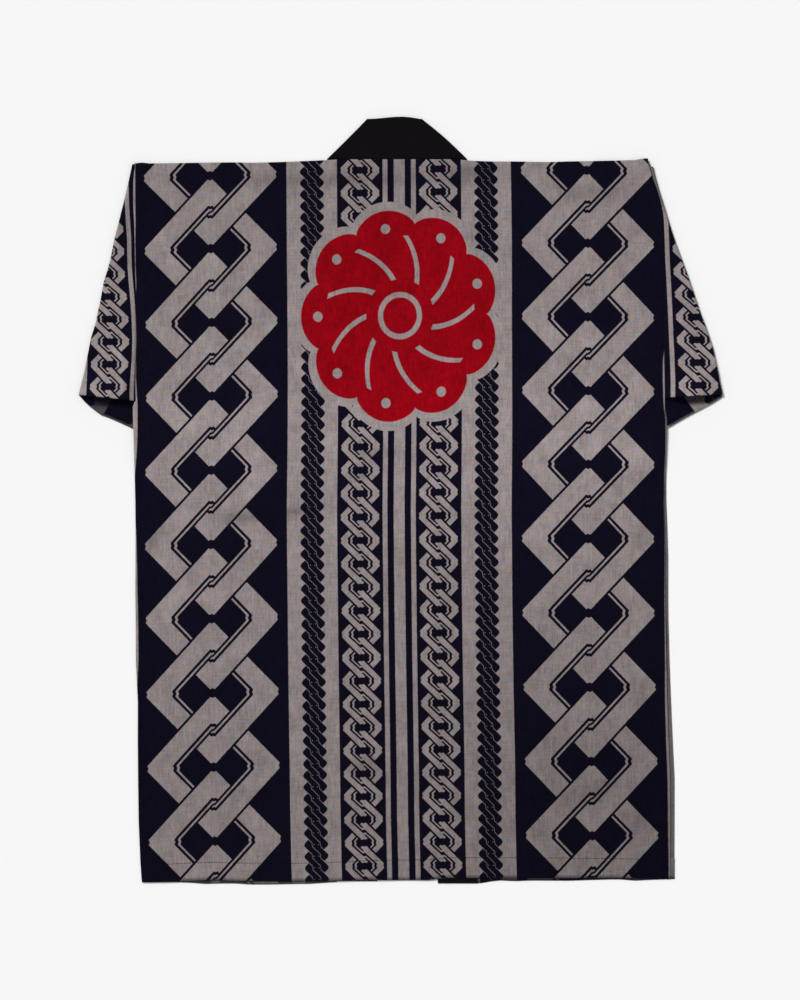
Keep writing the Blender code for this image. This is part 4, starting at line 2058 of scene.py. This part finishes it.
@dataclass
class CollarBand:
    """The doubled black band up both fronts and round the neck."""

    node: str = "collar"
    bevel: float = 0.5 * MM
    bevel_segments: int = 2
    bevel_above: float = 60.0

    def leg(self, neck: NeckFold, share: float, climb: int) -> Vector:
        """Lay a point of the band beside a front.

        Args:
            neck: The fold at the top of the leg.
            share: Share of the band's width, from its seam.
            climb: Rows up from the hem.

        Returns:
            The place.
        """
        level = neck.leg_end(share)
        if climb < LEG_ROWS:
            y = mix(neck.hem.y, BODY_TOP, climb / LEG_ROWS)
            level = Vector((neck.seam_x(y) - neck.side * BAND_WIDTH * share, y))
        return Vector((level.x, level.y, floor_height(level) + BAND_WALL / 2))

    def fold(self, neck: NeckFold, share: float, turn: float) -> Vector:
        """Lay a point of the band where it folds over.

        Args:
            neck: The fold.
            share: Share of the band's width, from its seam.
            turn: Share of the half turn, from the leg.

        Returns:
            The place.
        """
        angle = math.pi * turn
        level = neck.leg_end(share).lerp(neck.neck_end(share), turn)
        level = level + neck.away * (BAND_RADIUS * math.sin(angle))
        return Vector((level.x, level.y, BAND_AXIS - BAND_RADIUS * math.cos(angle)))

    def place(self, station: int, column: int) -> Vector:
        """Lay a point: up the left front, over the neck, and down the right front.

        Args:
            station: Steps along the band, from the left hem.
            column: Steps across it.

        Returns:
            The place.
        """
        share = 1 - column / BAND_COLUMNS
        if station <= LEG_ROWS:
            return self.leg(LEFT_NECK, share, station)
        station -= LEG_ROWS
        if station <= FOLD_STEPS:
            return self.fold(LEFT_NECK, share, station / FOLD_STEPS)
        station -= FOLD_STEPS
        if station <= NECK_STEPS:
            along = station / NECK_STEPS
            level = LEFT_NECK.neck_end(share).lerp(RIGHT_NECK.neck_end(share), along)
            crown = BAND_CROWN * share * math.sin(math.pi * along**BAND_CROWN_LEAN)
            return Vector((level.x, level.y + crown, BAND_AXIS + BAND_RADIUS))
        station -= NECK_STEPS
        if station <= FOLD_STEPS:
            return self.fold(RIGHT_NECK, share, 1 - station / FOLD_STEPS)
        return self.leg(RIGHT_NECK, share, LEG_ROWS - (station - FOLD_STEPS))

    def cut(self, station: int, column: int) -> Cut:
        """Cloth coordinates of a point: across the band, and along it."""
        length = BODY_TOP - LEFT_NECK.hem.y
        return Cut(BAND_WIDTH * column / BAND_COLUMNS, length * station / LEG_ROWS)

    def build(self, cotton: bpy.types.Material) -> bpy.types.Object:
        """Make the band, its edges rounded as folds.

        Args:
            cotton: Its material.

        Returns:
            The piece.
        """
        stations = 2 * (LEG_ROWS + FOLD_STEPS) + NECK_STEPS
        piece = lay_cloth("collar_band", (stations, BAND_COLUMNS), self.place, self.cut, BAND_CLOTH)
        apply_modifier(
            piece,
            "BEVEL",
            width=self.bevel,
            segments=self.bevel_segments,
            limit_method="ANGLE",
            angle_limit=math.radians(self.bevel_above),
        )
        piece.data.shade_smooth()
        piece.data.materials.append(cotton)
        return piece


@dataclass
class Stitching:
    """Rows of stitches, each a short sunken bead of thread."""

    length: float = 2.9 * MM
    spacing: float = 3.2 * MM
    width: float = 0.75 * MM
    height: float = 0.36 * MM
    segments: int = 8
    rings: int = 5

    def bead(self) -> bpy.types.Mesh:
        """Model one stitch lying along X.

        Returns:
            Its mesh.
        """
        deselect()
        bpy.ops.mesh.primitive_uv_sphere_add(segments=self.segments, ring_count=self.rings, radius=0.5)
        piece = bpy.context.active_object
        piece.scale = (self.length, self.width, self.height)
        bpy.ops.object.transform_apply(location=False, rotation=False, scale=True)
        mesh = piece.data
        bpy.data.objects.remove(piece)
        return mesh

    def sew(self, name: str, path: Sequence[Vector], thread: bpy.types.Material) -> bpy.types.Object:
        """Sew a row of stitches along a path, lying in its direction.

        Args:
            name: The piece's name.
            path: Points close together on the face of the cloth.
            thread: The thread's material.

        Returns:
            The row as one piece.
        """
        bead = self.bead()
        row = bmesh.new()
        travelled = 0.0
        due = self.spacing / 2
        for start, end in zip(path, path[1:]):
            run = end - start
            while due <= travelled + run.length:
                turn = run.to_track_quat("X", "Z")
                centre = start + run * ((due - travelled) / run.length)
                first = len(row.verts)
                row.from_mesh(bead)
                row.verts.ensure_lookup_table()
                for point in row.verts[first:]:
                    point.co = centre + turn @ point.co
                due += self.spacing
            travelled += run.length
        mesh = bpy.data.meshes.new(name)
        row.to_mesh(mesh)
        row.free()
        bpy.data.meshes.remove(bead)
        mesh.shade_smooth()
        mesh.materials.append(thread)
        piece = bpy.data.objects.new(name, mesh)
        bpy.context.scene.collection.objects.link(piece)
        return piece


@dataclass
class Studio:
    """Floor, camera and lights."""

    camera_height: float = 6.0
    view_height: float = 1.18
    centre_x: float = -1.8 * MM
    sensor: float = 36.0
    floor_half: float = 4.0
    floor_white: Colour = (0.86, 0.86, 0.86)
    floor_roughness: float = 0.9
    clip_end: float = 50.0
    sun_place: tuple[float, float, float] = (-2.2, 2.6, 3.4)
    sun_strength: float = 2.8
    sun_angle: float = 18.0
    surround: float = 0.45

    def build(self) -> None:
        """Set up the studio."""
        self.floor()
        self.camera()
        self.lights()

    def floor(self) -> None:
        """Lay a plain pale floor."""
        deselect()
        bpy.ops.mesh.primitive_plane_add(size=2 * self.floor_half, location=(0.0, 0.0, 0.0))
        floor = bpy.context.active_object
        floor.name = "studio_floor"
        bench = Bench("studio_floor")
        bench.shade({"Base Color": (*self.floor_white, 1.0), "Roughness": self.floor_roughness})
        floor.data.materials.append(bench.material)

    def camera(self) -> None:
        """Hang the camera straight above the coat."""
        lens = self.sensor * self.camera_height / self.view_height
        place = (self.centre_x, 0.0, self.camera_height)
        bpy.ops.object.camera_add(location=place, rotation=(0.0, 0.0, 0.0))
        camera = bpy.context.active_object
        camera.data.lens = lens
        camera.data.sensor_width = self.sensor
        camera.data.clip_end = self.clip_end
        bpy.context.scene.camera = camera

    def lights(self) -> None:
        """Light it by one broad soft light from the upper left, in a pale surround."""
        bpy.ops.object.light_add(type="SUN", location=self.sun_place)
        sun = bpy.context.active_object
        sun.name = "key_light"
        sun.data.energy = self.sun_strength
        sun.data.angle = math.radians(self.sun_angle)
        sun.rotation_mode = "QUATERNION"
        sun.rotation_quaternion = (-Vector(self.sun_place)).to_track_quat("-Z", "Y")
        world = bpy.context.scene.world or bpy.data.worlds.new("studio")
        bpy.context.scene.world = world
        world.use_nodes = True
        background = world.node_tree.nodes["Background"]
        background.inputs["Color"].default_value = (1.0, 1.0, 1.0, 1.0)
        background.inputs["Strength"].default_value = self.surround
        bpy.context.scene.view_settings.view_transform = "Standard"


def declare(piece: bpy.types.Object, node: str | None = None) -> bpy.types.Object:
    """Say what a piece rides on, and the solid that it stands for.

    Args:
        piece: The piece.
        node: The solid's node, where it stands for one.

    Returns:
        The same piece.
    """
    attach(piece, "root")
    if node:
        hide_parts(node)
    log.info("%s: %d faces", piece.name, len(piece.data.polygons))
    return piece


def main() -> None:
    """Build the coat and its studio, and declare every piece."""
    logging.basicConfig(level=logging.INFO, format="%(message)s")
    printed = PrintedCotton().dress()
    black = BandCotton().dress()
    thread = Thread().dress()

    back = Panel(
        node="back",
        face=1,
        left=lambda y: read(SIDES, y, "left"),
        right=lambda y: read(SIDES, y, "right"),
        hem=Edge.HEM,
        columns=BACK_COLUMNS,
        shade_marks=SHADE_MARKS,
        creases=BACK_CREASES,
        ornament=1.0,
        wrong_side_and_shade=0.9,
    )
    front_left = Panel(
        node="front_left",
        face=-1,
        left=lambda y: read(SIDES, y, "left") + UNDER_INSET,
        right=lambda y: LEFT_NECK.seam_x(y) - GAP,
        hem=Edge.UNDER_HEM,
        columns=FRONT_COLUMNS,
        creases=FRONT_CREASES,
        rolled_right=False,
        wrong_side_and_shade=0.8,
        hem_shade=0.9,
        hem_wear=0.2,
    )
    front_right = Panel(
        node="front_right",
        face=-1,
        left=lambda y: RIGHT_NECK.seam_x(y) + GAP,
        right=lambda y: read(SIDES, y, "under_right"),
        hem=Edge.UNDER_HEM,
        columns=FRONT_COLUMNS,
        creases=FRONT_CREASES,
        rolled_left=False,
        wrong_side_and_shade=0.76,
        hem_shade=1.35,
    )
    panels = (back, front_left, front_right)
    body = [declare(panel.build(printed), panel.node) for panel in panels]
    arms = [declare(sleeve.build(printed), sleeve.node) for sleeve in SLEEVES]
    collar = CollarBand()
    band = declare(collar.build(black), collar.node)

    stitching = Stitching()
    rows = [stitching.sew(f"{panel.node}_hem_stitches", panel.hem_path(), thread) for panel in panels]
    hems = [declare(row) for row in rows]

    Studio().build()


if __name__ == "__main__":
    main()
